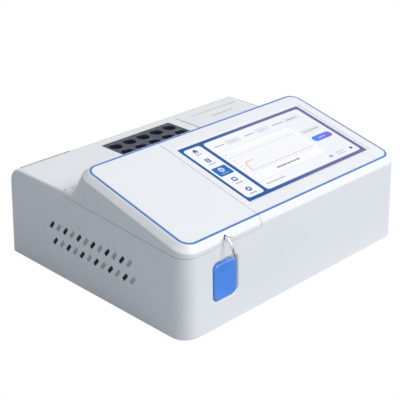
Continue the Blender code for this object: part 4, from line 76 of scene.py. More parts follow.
def rounded_ring(low, high, radius, steps=12):
    """A rectangle with rounded corners: each corner is a quarter circle about a centre one radius in
    from both sides, and the four arcs follow each other anticlockwise from the front right."""
    arcs = []
    for number in range(4):
        centre_x = high[0] - radius if number in (0, 1) else low[0] + radius
        centre_y = high[1] - radius if number in (1, 2) else low[1] + radius
        turn = np.linspace(number - 1, number, steps + 1) * pi / 2
        arcs.append(np.stack([centre_x + radius * np.cos(turn), centre_y + radius * np.sin(turn)], 1))
    return np.concatenate(arcs)


def arc_points(centre, radius, start, end, steps):
    """Points on a circle about centre, from one angle to another."""
    turn = np.linspace(start, end, steps + 1)
    return np.stack([centre[0] + radius * np.cos(turn), centre[1] + radius * np.sin(turn)], 1)


def level_ring(flat, level):
    """Flat points at one height."""
    return np.column_stack([flat, np.full(len(flat), level)])


def lofted(rings, closed_ends=True):
    """A skin through rings of equal count: point (i, j) is point j of ring i, each four neighbours
    make a face, and the first and last ring are filled."""
    rings = np.asarray(rings, float)
    count, around = rings.shape[:2]
    i, j = np.meshgrid(np.arange(count - 1), np.arange(around), indexing="ij")
    k = (j + 1) % around
    quads = np.stack([i * around + j, i * around + k, (i + 1) * around + k, (i + 1) * around + j], -1)
    faces = quads.reshape(-1, 4).tolist()
    if closed_ends:
        faces.append(list(range(around))[::-1])
        faces.append([(count - 1) * around + n for n in range(around)])
    return rings.reshape(-1, 3), faces


def placed(name, data):
    """An object made from its data and linked to the scene."""
    made = bpy.data.objects.new(name, data)
    bpy.context.scene.collection.objects.link(made)
    return made


def solid(*parts):
    """A working object of closed skins in millimetres over the rim: doubles merged, faces outwards."""
    mesh = bpy.data.meshes.new("work")
    points, faces = [], []
    for part_points, part_faces in parts:
        shift = len(points)
        points += ((np.asarray(part_points, float) + (0, 0, FOOT_LIFT)) * MM).tolist()
        faces += [[index + shift for index in face] for face in part_faces]
    mesh.from_pydata(points, [], faces)
    body = bmesh.new()
    body.from_mesh(mesh)
    bmesh.ops.remove_doubles(body, verts=body.verts, dist=MERGED)
    bmesh.ops.dissolve_degenerate(body, edges=body.edges, dist=SLIVER)
    bmesh.ops.recalc_face_normals(body, faces=body.faces)
    body.to_mesh(mesh)
    body.free()
    return placed("work", mesh)


def joined(target, tool, how):
    """The mesh of one working object cut by, added to or kept inside another, which is dropped."""
    modifier = target.modifiers.new("work", "BOOLEAN")
    modifier.operation, modifier.solver, modifier.object = how, "EXACT", tool
    bpy.context.view_layer.update()
    mesh = bpy.data.meshes.new_from_object(target.evaluated_get(bpy.context.evaluated_depsgraph_get()))
    target.modifiers.clear()
    target.data = mesh
    bpy.data.objects.remove(tool)
    return target


def cut(target, *tools):
    for tool in tools:
        joined(target, tool, "DIFFERENCE")
    return target


def fused(target, *tools):
    for tool in tools:
        joined(target, tool, "UNION")
    return target


def twin(work):
    """A copy of a working object, with a mesh of its own."""
    made = work.copy()
    made.data = work.data.copy()
    bpy.context.scene.collection.objects.link(made)
    return made


def block(low, high, place=None):
    """A box between two corners, as a loft of two rectangles, moved by place."""
    x, y = [low[0], high[0], high[0], low[0]], [low[1], low[1], high[1], high[1]]
    rings = [np.stack([x, y, [z] * 4], 1) for z in (low[2], high[2])]
    points, faces = lofted(rings)
    return (points if place is None else place(points)), faces


def prism(outline, low, high, axis="z", place=None):
    """A flat outline pushed along one axis: the outline lies in the other two axes, in their order."""
    outline = np.asarray(outline, float)
    level = np.ones(len(outline))
    order = {"x": (2, 0, 1), "y": (0, 2, 1), "z": (0, 1, 2)}[axis]
    rings = [np.stack([*outline.T, level * at], 1)[:, order] for at in (low, high)]
    points, faces = lofted(rings)
    return (points if place is None else place(points)), faces


def rod(centre, radius, low, high, axis, sides, place=None):
    """A round prism along one axis."""
    return prism(arc_points(centre, radius, 0, 2 * pi, sides)[:-1], low, high, axis, place)


def tube_skin(path, radius, sides):
    """A round skin along a path: at each point a circle lies across the path's direction, in a frame
    that is carried on from point to point with no twist."""
    along = np.gradient(path, axis=0)
    along /= np.linalg.norm(along, axis=1)[:, None]
    across = np.cross(along[0], (0.31, 0.83, 0.46))
    turns = np.linspace(0, 2 * pi, sides, endpoint=False)
    rings = []
    for point, way in zip(path, along):
        across = across - way * across.dot(way)
        across /= np.linalg.norm(across)
        other = np.cross(way, across)
        rings.append(point + radius * (np.cos(turns)[:, None] * across + np.sin(turns)[:, None] * other))
    return lofted(rings)


def turned(profile, centre, sides):
    """A profile of (radius, height) points turned about an upright axis through centre. A point on the
    axis itself is kept a hair away from it."""
    turns = np.linspace(0, 2 * pi, sides, endpoint=False)
    profile = np.maximum(np.asarray(profile, float), (1e-4, -1e9))
    rings = [np.stack([r * np.cos(turns), r * np.sin(turns), np.full(sides, z)], 1) for r, z in profile]
    points, faces = lofted(rings)
    return points + centre, faces


def tilted(origin, angle, axis):
    """A placing of points: turned about one axis, then moved so that zero lies at origin."""
    turn = np.array(Matrix.Rotation(angle, 3, axis))
    return lambda points: np.asarray(points, float) @ turn.T + origin


on_panel = tilted((0, PANEL_FRONT, PANEL_LOW), PANEL_SLOPE, "X")
on_front = tilted((0, -HALF_DEPTH, 0), -DRAFT, "X")
on_rear = tilted((0, HALF_DEPTH, 0), DRAFT, "X")
on_left = tilted((-HALF_WIDTH, 0, 0), DRAFT, "Y")


def side_at(height):
    return HALF_WIDTH - height * tan(DRAFT)


def wedge_skin(inset, bottom, steps):
    """The raised part. A wall point slides along the straight line between the outline at the rim and
    the outline at the top, up to where it meets the panel's plane lowered by the band's drop; the band
    then runs in to the panel's edge on a chamfer with two soft bends, each a quadratic curve."""
    sink = inset / cos(PANEL_SLOPE)

    def outline(height):
        rear = BACK_EDGE - (height - BACK_EDGE_HEIGHT) * tan(BACK_LEAN) - inset / cos(BACK_LEAN)
        side = side_at(height) - inset
        low = (-side, height * tan(DRAFT) - HALF_DEPTH + inset)
        return rounded_ring(low, (side, rear), FRONT_RADIUS - inset, steps=steps)

    low, high = outline(0.0), outline(WEDGE_TOP)
    slope = tan(PANEL_SLOPE)
    reach = PANEL_LOW + (low[:, 1] - PANEL_FRONT) * slope - sink - BAND_DROP
    share = reach / (WEDGE_TOP - slope * (high[:, 1] - low[:, 1]))
    wall = low + (high - low) * share[:, None]
    side = PANEL_HALF - inset / 2
    near, far = PANEL_FRONT + inset / 2, PANEL_REAR - inset / 2
    edge = rounded_ring((-side, near), (side, far), PANEL_RADIUS, steps=steps)
    start = low + (high - low) * bottom / WEDGE_TOP
    rings = [level_ring(start, bottom)]
    t = np.linspace(0, 1, 8)[:, None]
    bends = []
    for bend in BAND_BENDS:
        first, corner, last = np.array(bend, float)
        bends.append((1 - t) ** 2 * first + 2 * t * (1 - t) * corner + t**2 * last)
    for inward, fall in np.concatenate(bends):
        flat = wall + (edge - wall) * inward
        height = PANEL_LOW + (flat[:, 1] - PANEL_FRONT) * slope - sink - BAND_DROP * fall
        rings.append(np.column_stack([flat, height]))
    return lofted(rings)


def deck_skin(inset, bottom, steps):
    """The low part. Its (y, z) profile runs back along the rim, up the wall, round the rear edge and
    forward over the deck; across x each point of it ends in a quarter circle that bends from the
    profile's own normal to the side wall. The inner skin stands in a hair more than the wedge's, so
    that no two faces fall together."""
    top, radius = DECK_TOP - inset, DECK_REAR_RADIUS - inset
    centre_z = top - radius
    centre_y = HALF_DEPTH - inset - centre_z * tan(DRAFT) - radius / cos(DRAFT)
    turn = np.linspace(DRAFT, pi / 2, steps + 1)
    normal = np.stack([np.cos(turn), np.sin(turn)], 1)
    bend = np.array([centre_y, centre_z]) + radius * normal
    rear = HALF_DEPTH - inset - bottom * tan(DRAFT)
    profile = np.concatenate([[(DECK_FRONT, bottom), (rear, bottom)], bend, [(DECK_FRONT, top)]])
    normal = np.concatenate([[(0, -1), (1, 0)], normal, [(0, 1)]])
    edge = np.full(len(profile), 0.01 if inset else DECK_SIDE_RADIUS)
    edge[0] = 0.0
    sweep = np.linspace(0, pi / 2, 9)
    lines = []
    for sign, angle in ((-1, sweep[::-1]), (1, sweep)):
        yz = profile[:, None] - normal[:, None] * (edge[:, None] * (1 - np.cos(angle)))[..., None]
        x = side_at(yz[..., 1]) - inset * 1.02 - edge[:, None] * (1 - np.sin(angle))
        lines.append(np.concatenate([sign * x[..., None], yz], -1))
    return lofted(np.swapaxes(np.concatenate(lines, 1), 0, 1))


def housing(inset, bottom, steps):
    """Everything inside the outer skin, drawn in by a wall."""
    return fused(solid(wedge_skin(inset, bottom, steps)), solid(deck_skin(inset, bottom, steps)))


KEY_X, KEY_POST_Z, KEY_PIN_Z = -93.4, 31.0, 50.0
NEEDLE_X, NEEDLE_Z = -91.5, 76.1
SLOT_HALF, SLOT_REAR = 1.9, -103.7
DISH_X, DISH_HALF, DISH_LOW, DISH_HIGH, DISH_DEPTH = -92.6, 16.45, 22.6, 60.6, 3.2
DISH_FLOOR_LOW = np.array([DISH_X - DISH_HALF + 2.6, DISH_LOW + 0.9])
DISH_FLOOR_HIGH = np.array([DISH_X + DISH_HALF - 2.0, DISH_HIGH - 2.4])
DISH_CORNER, DISH_RIM, DISH_SLOPE = 5.4, 2.3, 1.2
SCOOP_WIDTH, SCOOP_DEPTH, SCOOP_FADE = 21.0, 2.0, 9.0
HINGE_Y, HINGE_Z, HINGE_RADIUS = 34.5, DECK_TOP - 2.0, 2.0
PIN_HOLE, BOSS_WIDTH = 1.1, 5.5
COVER_RIGHT, COVER_EDGE = 88.8 - HALF_WIDTH - SEAM / 2, 2.0
EAR_LEFT, EAR_WIDTH = 6.2 - HALF_WIDTH, 5.0
SEAM_FRONT = 71.0
SCREEN_LEFT, SCREEN_RIGHT, SCREEN_NEAR, SCREEN_FAR = -42.0, 117.3, 16.3, 104.9
SCREEN_BEVEL, GLASS_FACE = 3.1, -0.9
DOOR_LEFT, DOOR_RIGHT, DOOR_FRONT, DOOR_REAR = 50.4, 133.4, 33.0, 86.05
DOOR_HINGE_Y = 35.0
PAPER_X, MOUTH_HALF, MOUTH_DEPTH = 95.5, 31.0, 0.8
LINE_HALF, LINE_HEIGHT = 0.75, 0.8
VENT_HALF_WIDTH, VENT_HALF_LENGTH, VENT_RADIUS = 1.7, 4.4, 1.3
VENT_ROWS, VENT_PITCH = ((46.7, 52.3), (32.4, 48.4)), 9.1
VENT_TURN = np.array(Matrix.Rotation(radians(38.7), 2))
FAN_X, FAN_Z, FAN_RADIUS, FAN_PITCH, FAN_SLOT = -5.8, 39.2, 26.2, 7.2, 1.8
SOCKETS_LEFT, SOCKETS_RIGHT, SOCKETS_LOW, SOCKETS_HIGH = -121.5, -70.5, 25.5, 72.5
BLOCK_HOLE_LOW, BLOCK_HOLE_HIGH = (-48.7, 52.1), (37.1, 90.9)


def cover_space(gap):
    """The space of the hinged cover: its lower edge rises to a round hinge edge at the back, and rises
    once more, in a quarter circle, beside the cover's right end."""
    front, top = -HALF_DEPTH - PAST, WEDGE_TOP + PAST
    rise = (HINGE_Z - HINGE_RADIUS - SEAM_FRONT) / (HINGE_Y + HALF_DEPTH)
    back = arc_points((HINGE_Y, HINGE_Z), HINGE_RADIUS + gap, -pi / 2, 0.0 if gap else pi / 2, 16)
    outline = np.array([(front, SEAM_FRONT - PAST * rise - gap), *back, (back[-1][0], top), (front, top)])
    right = COVER_RIGHT + gap - COVER_EDGE
    stations = [(right - 1.0, 0.0)]
    for angle in np.linspace(0, pi / 2, 7):
        stations.append((right + COVER_EDGE * sin(angle), COVER_EDGE * (1 - cos(angle))))
    skins = []
    for x, lift in stations:
        ring = outline.copy()
        ring[0, 1] += lift
        skins.append(np.column_stack([np.full(len(ring), x), ring]))
    return fused(solid(prism(outline, -HALF_WIDTH - PAST, right, "x")), solid(lofted(skins)))


def stripe_ring(spread, low, high):
    """A band along the panel's edge line: an outer and an inner rounded ring at two levels."""
    half = LINE_HALF + spread
    rings = []
    for offset, level in ((half, low), (half, high), (-half, high), (-half, low), (half, low)):
        corner = (PANEL_HALF + offset, PANEL_LENGTH + offset)
        flat = rounded_ring((-PANEL_HALF - offset, -offset), corner, PANEL_RADIUS + offset)
        rings.append(on_panel(level_ring(flat, level)))
    return lofted(rings, closed_ends=False)


def window_cutter():
    """The screen's opening: upright up to the glass, then a bevel that widens to the panel's face. At
    the right the bevel is a nearly flat ledge and a short steep slope."""
    rings = []
    rise, ledge = GLASS_FACE * 0.9, SCREEN_BEVEL * 0.58
    for height in (-2 * PAST, GLASS_FACE, rise, PAST):
        out = SCREEN_BEVEL * max(0.0, 1 - height / GLASS_FACE)
        right = ledge + (SCREEN_BEVEL - ledge) * (1 - height / rise) if height >= rise else 0.0
        low, high = (SCREEN_LEFT - out, SCREEN_NEAR - out), (SCREEN_RIGHT + right, SCREEN_FAR + out)
        rings.append(on_panel(level_ring(rounded_ring(low, high, 0.3, steps=2), height)))
    return solid(lofted(rings))


def vent_slots(spread, start, deep, shallow=None):
    """Leaning slots in two rows, each grown by spread: six deep ones a row and, with a depth for them,
    a shallow one after each."""
    half = np.array([VENT_HALF_WIDTH, VENT_HALF_LENGTH]) + spread
    outline = rounded_ring(-half, half, VENT_RADIUS + spread, steps=8) @ VENT_TURN.T
    slots = []
    for height, first in VENT_ROWS:
        for number in range(12):
            depth = shallow if number % 2 else deep
            if depth is not None:
                spot = outline + (first - number * VENT_PITCH, height)
                slots.append(prism(spot, start, depth, "x", on_left))
    return slots


def dish_cutter():
    """The key's dish: rounded rings about the key's outline. The side is a quarter ellipse that starts
    flat on the wall's face and ends upright, close beside the key; the floor meets it in a small
    chamfer."""
    levels = [(-2.0, DISH_RIM)]
    for t in np.linspace(0, pi / 2, 10):
        levels.append((DISH_SLOPE * (1 - cos(t)), DISH_RIM * (1 - sin(t))))
    levels += [(DISH_DEPTH - 0.3, -0.02), (DISH_DEPTH, -0.3)]
    rings = []
    for depth, spread in levels:
        ring = rounded_ring(DISH_FLOOR_LOW - spread, DISH_FLOOR_HIGH + spread, DISH_CORNER + spread)
        rings.append(on_front(np.column_stack([ring[:, 0], np.full(len(ring), depth), ring[:, 1]])))
    return solid(lofted(rings))


def stem_cutter(low, high):
    """The openings in the dish's floor for the key's arm and for its post."""
    slot = block((KEY_X - 5.1, low, KEY_PIN_Z - 5.6), (KEY_X + 5.1, high, KEY_PIN_Z + 5.6), on_front)
    return solid(slot, rod((KEY_X, KEY_POST_Z), 3.6, low, high, "y", 24, on_front))


def scoop_cutter(low, fade):
    """The hollow above the dish: across it the depth is one wave of a cosine, so that both sides start
    flat on the wall. Where it fades, the depth falls with the square of the height above the seam."""
    across = np.linspace(-1, 1, 49)
    wave = 0.51 * (1 + np.cos(pi * across)) - 0.02
    x = NEEDLE_X + SCOOP_WIDTH * 0.6 * across
    rings = []
    for share in (low, 0.0, *(np.linspace(0.08, 1.1, 18) if fade else (0.3,))):
        depth = SCOOP_DEPTH * (1 - (max(share, 0.0) ** 2 if fade else 0.0))
        edge = np.column_stack([x, depth - SCOOP_DEPTH + SCOOP_DEPTH * wave])
        edge = np.concatenate([edge, [(x[-1], -4.0), (x[0], -4.0)]])
        rings.append(on_front(level_ring(edge, SEAM_FRONT + SCOOP_FADE * share)))
    return solid(lofted(rings))


def needle_slot():
    """The cover's slot over the needle: a half circle on two upright sides, open at the bottom."""
    low = SEAM_FRONT - PAST
    arch = arc_points((NEEDLE_X, NEEDLE_Z), SLOT_HALF, 0, pi, 24)
    outline = [(NEEDLE_X + SLOT_HALF, low), *arch, (NEEDLE_X - SLOT_HALF, low)]
    return solid(prism(outline, -HALF_DEPTH - PAST, SLOT_REAR, "y"))


def rear_cutters():
    """The window behind the socket plate, its screw holes, the fan grille and the drain hole."""
    inside = -2 * PAST
    tools = [block((SOCKETS_LEFT, inside, SOCKETS_LOW), (SOCKETS_RIGHT, PAST, SOCKETS_HIGH), on_rear)]
    for x in (-122.1, -69.9):
        for z in (22.9, 75.1):
            tools.append(rod((x, z), 1.4, inside, PAST, "y", 12, on_rear))
    for row in range(-3, 4):
        reach = (FAN_RADIUS**2 - (row * FAN_PITCH) ** 2) ** 0.5
        level = FAN_Z + row * FAN_PITCH
        low, high = (FAN_X - reach, level - FAN_SLOT), (FAN_X + reach, level + FAN_SLOT)
        slot = rounded_ring(low, high, 1.7, steps=4)
        tools.append(prism(slot, inside, PAST, "y", on_rear))
    tools.append(rod((-53.5, 30.0), 2.7, inside, PAST, "y", 24, on_rear))
    return solid(*tools)


def door_cutter():
    """The printer opening, with a round seat for the door's hinge edge and the mouth for the paper."""
    seat = arc_points((DOOR_HINGE_Y, HINGE_Z), HINGE_RADIUS + SEAM, pi, pi * 1.5, 12)
    low, high, rear = DECK_TOP - 8.5, DECK_TOP + PAST, DOOR_REAR + SEAM
    outline = [*seat, (DOOR_HINGE_Y, low), (rear, low), (rear, high), (seat[0][0], high)]
    mouth = block((PAPER_X - MOUTH_HALF, DOOR_REAR, low), (PAPER_X + MOUTH_HALF, rear + MOUTH_DEPTH, high))
    return fused(solid(prism(outline, DOOR_LEFT - SEAM, DOOR_RIGHT + SEAM, "x")), solid(mouth))


def thumb_scoop():
    """A shallow hollow beside the printer door for a fingernail."""
    half, width = 31.0, 5.0
    radius = (half**2 + width**2) / (2 * width)
    sweep = np.arcsin(half / radius)
    centre = (DOOR_LEFT - SEAM - width + radius, DOOR_FRONT + half)
    edge = arc_points(centre, radius, pi - sweep, pi + sweep, 24)
    outline = [*edge, (edge[-1][0] + 0.4, edge[-1][1]), (edge[0][0] + 0.4, edge[0][1])]
    return solid(prism(outline, DECK_TOP - 0.7, DECK_TOP + PAST))


def pin_hole(left, right, y):
    return solid(rod((y, HINGE_Z), PIN_HOLE, left, right, "x", 16))


dish_side, scoop_side = DISH_HALF + WALL, SCOOP_WIDTH / 2 + WALL
dish_high = (DISH_X + dish_side, DISH_DEPTH + WALL, DISH_HIGH + WALL)
scoop_high = (NEEDLE_X + scoop_side, SCOOP_DEPTH + WALL, DECK_TOP - WALL / 2)
backing = fused(
    solid(block((DISH_X - dish_side, 0, DISH_LOW - WALL), dish_high, on_front)),
    solid(block((NEEDLE_X - scoop_side, 0, DISH_HIGH), scoop_high, on_front)),
)
skin = cut(housing(0.0, 0.0, 12), cut(housing(WALL, -PAST, 4), backing))
cut(skin, solid(stripe_ring(0.3, -1.1, PAST)))
cover = twin(skin)
cut(
    skin,
    cover_space(SEAM),
    window_cutter(),
    solid(block((*BLOCK_HOLE_LOW, DECK_TOP - 6), (*BLOCK_HOLE_HIGH, DECK_TOP + PAST))),
    thumb_scoop(),
    door_cutter(),
    solid(*vent_slots(0.0, -PAST, WALL + PAST, 1.5)),
    dish_cutter(),
    scoop_cutter(-1.49, False),
    stem_cutter(DISH_DEPTH - 2, DISH_DEPTH + WALL + PAST),
    rear_cutters(),
)
for boss_left in (COVER_RIGHT + SEAM, DOOR_LEFT - SEAM - BOSS_WIDTH):
    boss_low = (boss_left, HINGE_Y - 4, HINGE_Z - 2.8)
    fused(skin, solid(block(boss_low, (boss_left + BOSS_WIDTH, HINGE_Y + 4, DECK_TOP - 0.6))))
for x in (SCREEN_LEFT + 12, SCREEN_RIGHT - 12):
    for y in (SCREEN_NEAR - 6.0, SCREEN_FAR + 6.0):
        fused(skin, solid(rod((x, y), 3.0, -8.2, -1, "z", 32, on_panel)))
ear_right = EAR_LEFT + EAR_WIDTH
ear = solid(block((EAR_LEFT, HINGE_Y, HINGE_Z - HINGE_RADIUS), (ear_right, HINGE_Y + 6, DECK_TOP)))
fused(ear, solid(rod((HINGE_Y, HINGE_Z), HINGE_RADIUS, EAR_LEFT, ear_right, "x", 32)))
fused(skin, ear)
cut(
    skin,
    pin_hole(5.1 - HALF_WIDTH, COVER_RIGHT + BOSS_WIDTH, HINGE_Y),
    pin_hole(DOOR_LEFT - BOSS_WIDTH, DOOR_RIGHT + 2.5, DOOR_HINGE_Y),
)


class Shade:
    """A socket of a material's nodes, on which sums are written as they are on plain numbers."""

    def __init__(self, tree, socket=None):
        self.tree, self.socket = tree, socket

    def node(self, kind, settings=None, out=0, **values):
        """Adds one node: first its settings, then values or links of its sockets, each by its name
        with _ for a space, or by its number after an i."""
        made = self.tree.nodes.new("ShaderNode" + kind)
        for name, value in (settings or {}).items():
            setattr(made, name, value)
        for name, value in values.items():
            number = name[1:]
            socket = made.inputs[int(number)] if number.isdigit() else made.inputs[name.replace("_", " ")]
            if isinstance(value, Shade):
                self.tree.links.new(value.socket, socket)
            elif socket.type == "RGBA":
                socket.default_value = (*value, 1.0)
            else:
                socket.default_value = value
        return Shade(self.tree, made.outputs[out])

    def sum(self, how, first, second):
        return self.node("Math", {"operation": how}, i0=first, i1=second)

    def __add__(self, other):
        return self.sum("ADD", self, other)

    __radd__ = __add__

    def __sub__(self, other):
        return self.sum("SUBTRACT", self, other)

    def __mul__(self, other):
        return self.sum("MULTIPLY", self, other)

    def mixed(self, first, second):
        """Two colours mixed by this value."""
        return self.node("Mix", {"data_type": "RGBA"}, 2, i0=self, i6=first, i7=second)


def finish_of(name, colour, roughness, metallic=0.0, coat=0.0, coat_roughness=0.1, **fixed):
    """A material whose shader gets the values that hold all over the surface; returns it, its shader
    node and a Shade to build the varying ones on."""
    made = bpy.data.materials.new(name)
    made.use_nodes = True
    tree = made.node_tree
    shader = tree.nodes["Principled BSDF"]
    values = {
        "Base Color": (*colour, 1.0),
        "Roughness": roughness,
        "Metallic": metallic,
        "Coat Weight": coat,
        "Coat Roughness": coat_roughness,
    }
    values.update({key.replace("_", " "): value for key, value in fixed.items()})
    for key, value in values.items():
        shader.inputs[key].default_value = value
    return made, shader, Shade(tree)


def linear(*colour):
    """A colour named by its 0 to 255 screen values, as the linear light it stands for."""
    share = np.array(colour, float) / 255
    return tuple(np.where(share > 0.04045, ((share + 0.055) / 1.055) ** 2.4, share / 12.92).tolist())


def tint(colour, factor):
    return tuple(channel * factor for channel in colour)


def driven(shade, shader, base, gloss, bump):
    for key, value in (("Base Color", base), ("Roughness", gloss), ("Normal", bump)):
        shade.tree.links.new(value.socket, shader.inputs[key])


def moulded(name, colour, roughness, grain=0.35, depth=0.02, cloud=0.015, coat=0.0, **fixed):
    """Moulded plastic: slow cloudiness from the flow of the melt, and a fine spark-eroded grain of
    the tool that is a bump and a small change of gloss. Grain is in millimetres."""
    made, shader, shade = finish_of(name, colour, roughness, coat=coat, **fixed)
    place = shade.node("TexCoord", out=3)
    flow = shade.node("TexNoise", Vector=place, Scale=14.0, Detail=3.0, Roughness=0.6)
    tone = flow.node("MapRange", i0=flow, i1=0.3, i2=0.7, i3=0.0, i4=1.0)
    base = tone.mixed(tint(colour, 1 - cloud), tint(colour, 1 + cloud))
    fine = shade.node("TexNoise", Vector=place, Scale=1000.0 / grain, Detail=1.0, Roughness=0.5)
    rubbed = shade.node("TexNoise", Vector=place, Scale=60.0, Detail=4.0, Roughness=0.7)
    gloss = roughness + (rubbed - 0.5) * 0.12 + (fine - 0.5) * 0.08
    driven(shade, shader, base, gloss, shade.node("Bump", Strength=0.35, Distance=depth * MM, Height=fine))
    return made


def finished(work, name, look, body, slot, *nodes, smooth=32.0, weighted=True):
    """Names a piece, gives it its material, shades it and lets it ride on its body."""
    work.name = work.data.name = name
    work.data.materials.clear()
    work.data.materials.append(look)
    work.data.shade_smooth()
    work.data.set_sharp_from_angle(angle=radians(smooth))
    if weighted:
        work.modifiers.new("soften", "WEIGHTED_NORMAL").keep_sharp = True
    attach(work, body)
    if nodes:
        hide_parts(*nodes)
    return work


def carried(look, *names):
    """Nodes of the frame that keep their own shape and take a better material."""
    for name in names:
        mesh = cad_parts[name].data
        mesh.materials.clear()
        mesh.materials.append(look)
        mesh.shade_smooth()


# The casing's finish. Two small parts are moulded on first: a lip in the gap left of the printer door,
# and a tongue that closes the cover's slot below the needle.

WHITE = moulded(
    "white_moulding", (0.815, 0.822, 0.832), 0.44, depth=0.006, cloud=0.01, coat=0.12, coat_roughness=0.3
)
SKIN_SMOOTH = 15.6
lip_low = (DOOR_LEFT - SEAM - 1, DOOR_FRONT + 4, DECK_TOP - 2.4)
lip = block(lip_low, (DOOR_LEFT - 0.12, DOOR_REAR - 1, DECK_TOP - 0.75))
tongue_low = (NEEDLE_X - 1.65, SCOOP_DEPTH + 0.15, SEAM_FRONT - 1)
tongue = block(tongue_low, (NEEDLE_X + 1.65, SCOOP_DEPTH + WALL - 0.3, NEEDLE_Z - 1.3), on_front)
fused(skin, solid(lip), solid(tongue))
finished(skin, "upper_casing_moulding", WHITE, "casing", "white_shell", "upper_casing", smooth=SKIN_SMOOTH)


# Painted shade in the side vents. A sheet of black open foam stands behind the through slots, with a plug
# of it in each slot almost to the wall's face: painted shade for the dark inside of the casing; it is
# stuck to the wall's inner side. The shallow slots between them are blind, and a grey pad on each floor is
# painted shade.

VENT_SHADE_BLACK = moulded("painted_vent_shade", (0.012, 0.013, 0.017), 0.95, grain=0.7, depth=0.25, cloud=0.3)
sheet = block((WALL + 0.05, -63, 24), (WALL + 0.35, 61, 55), on_left)
vent_shade_plugs = fused(solid(sheet), solid(*vent_slots(-0.06, 0.35, WALL + 0.2)))
finished(vent_shade_plugs, "painted_vent_shade_plugs", VENT_SHADE_BLACK, "casing", "black_rubber")
# Grey pads on the blind slots' floors: painted shade for the recesses.
VENT_RECESS_SHADE = moulded("painted_recess_shade", (0.5, 0.505, 0.515), 0.6, depth=0.01)
recess_shade_pads = solid(*vent_slots(-0.04, 1.35, None, 1.49))
finished(recess_shade_pads, "vent_recess_shade_pads", VENT_RECESS_SHADE, "casing", "grey_plastic")


# Hinged cover on the left. It is moulded in the same white plastic and turns up about a steel pin in
# its round rear edge; the hollow under the needle runs out in it, with a slot for the needle.

joined(cover, cover_space(0.0), "INTERSECT")
barrel_left = 2.6 - HALF_WIDTH
fused(cover, solid(rod((HINGE_Y, HINGE_Z), 1.7, barrel_left, COVER_RIGHT, "x", 32)))
ear_low = (EAR_LEFT - SEAM, HINGE_Y - 2.5, HINGE_Z - 2.5)
ear_high = (EAR_LEFT + EAR_WIDTH + SEAM, HINGE_Y + 2.5, DECK_TOP + PAST)
cut(
    cover,
    solid(block(ear_low, ear_high)),
    scoop_cutter(-0.3, True),
    needle_slot(),
    pin_hole(barrel_left + WALL, COVER_RIGHT + PAST, HINGE_Y),
)
finished(cover, "left_cover_moulding", WHITE, "cover", "white_shell", "left_cover", smooth=SKIN_SMOOTH)


# Blue line round the panel. It is an extruded strip of coloured plastic pressed into a groove, in two
# lengths that meet at the cover's seam.

LINE_BLUE = moulded("line_blue", linear(52, 123, 206), 0.36, grain=0.5, coat=0.3)
right_strip = solid(stripe_ring(0.0, -LINE_HEIGHT, 0.0))
left_strip = twin(right_strip)
strip_end = PANEL_LENGTH + 5
cut(left_strip, solid(block((COVER_RIGHT, -5, -5), (HALF_WIDTH + PAST, strip_end, 5), on_panel)))
cut(right_strip, solid(block((-HALF_WIDTH - PAST, -5, -5), (COVER_RIGHT + SEAM, strip_end, 5), on_panel)))
finished(left_strip, "cover_line", LINE_BLUE, "cover", "blue_line", "cover_stripe")
finished(right_strip, "panel_line", LINE_BLUE, "casing", "blue_line", "panel_stripe")


# Touch screen. A sheet of hardened glass sits in the panel's window; the display below it shows the
# control page, which is drawn here as flat shapes in one thin layer on the glass, in screen colours.

def rounded_slab(low, high, radius, bottom, top, edge, place, steps=8):
    """A plate with rounded corners and a small quarter-round edge round its top face."""
    rings = [(0.0, bottom), (0.0, top - edge)]
    sweep = np.linspace(0, pi / 2, 5)[1:]
    rings += [(edge * (1 - cos(t)), top - edge + edge * sin(t)) for t in sweep]
    low, high = np.array(low), np.array(high)
    skins = []
    for inset, level in rings:
        flat = rounded_ring(low + inset, high - inset, radius - inset, steps=steps)
        skins.append(place(level_ring(flat, level)))
    return lofted(skins)


GLASS_GAP = 0.3
glass_low = (SCREEN_LEFT + GLASS_GAP, SCREEN_NEAR + GLASS_GAP)
glass_high = (SCREEN_RIGHT - GLASS_GAP, SCREEN_FAR - GLASS_GAP)
GLASS, glass_shader, shade = finish_of(
    "touch_glass", linear(196, 206, 228), 0.06, coat=1.0, coat_roughness=0.02
)
smear = shade.node("TexNoise", Vector=shade.node("TexCoord", out=3), Scale=45.0, Detail=3.0)
shade.tree.links.new((0.05 + smear * 0.06).socket, glass_shader.inputs["Roughness"])
glass = solid(rounded_slab(glass_low, glass_high, 0.4, -WALL, GLASS_FACE - 0.02, 0.15, on_panel))
finished(glass, "touch_glass_sheet", GLASS, "casing", "touch_glass", "touch_glass")

PAGE = []
PAGE_WIDTH, PAGE_HEIGHT, INK_LAYER = 159, 88.4, 0.012


def page_shape(outline, level, *colours):
    """One flat shape of the page: its outline in millimetres from the window's top left corner, the
    layer that it lies in, and one colour, or four for its box's corners, which blend across it."""
    PAGE.append((np.asarray(outline, float), level, [linear(*colour) for colour in colours]))


def page_box(left, right, top, bottom, level, *colours, radius=0.0):
    if radius:
        page_shape(rounded_ring((left, top), (right, bottom), radius, steps=6), level, *colours)
    else:
        page_shape([(left, top), (right, top), (right, bottom), (left, bottom)], level, *colours)


def page_disc(x, y, radius, level, *colours):
    page_shape(arc_points((x, y), radius, 0, 2 * pi, 24)[:-1], level, *colours)


def page_line(points, width, level, *colours):
    """A line as a strip: each point is moved half the width to either side, across the line."""
    points = np.asarray(points, float)
    along = np.gradient(points, axis=0)
    along /= np.linalg.norm(along, axis=1)[:, None]
    across = along[:, ::-1] * (-1, 1) * width / 2
    page_shape(np.concatenate([points + across, (points - across)[::-1]]), level, *colours)


def page_words(left, right, top, bottom, level, colour):
    """Short strokes with gaps in a fixed rhythm, in place of a line of text."""
    strokes, gaps = (1.1, 0.7, 1.3, 0.8), (0.35, 0.3, 0.75)
    turn = 0
    while left < right:
        page_box(left, min(left + strokes[turn % 4], right), top, bottom, level, colour)
        left += strokes[turn % 4] + gaps[turn % 3]
        turn += 1


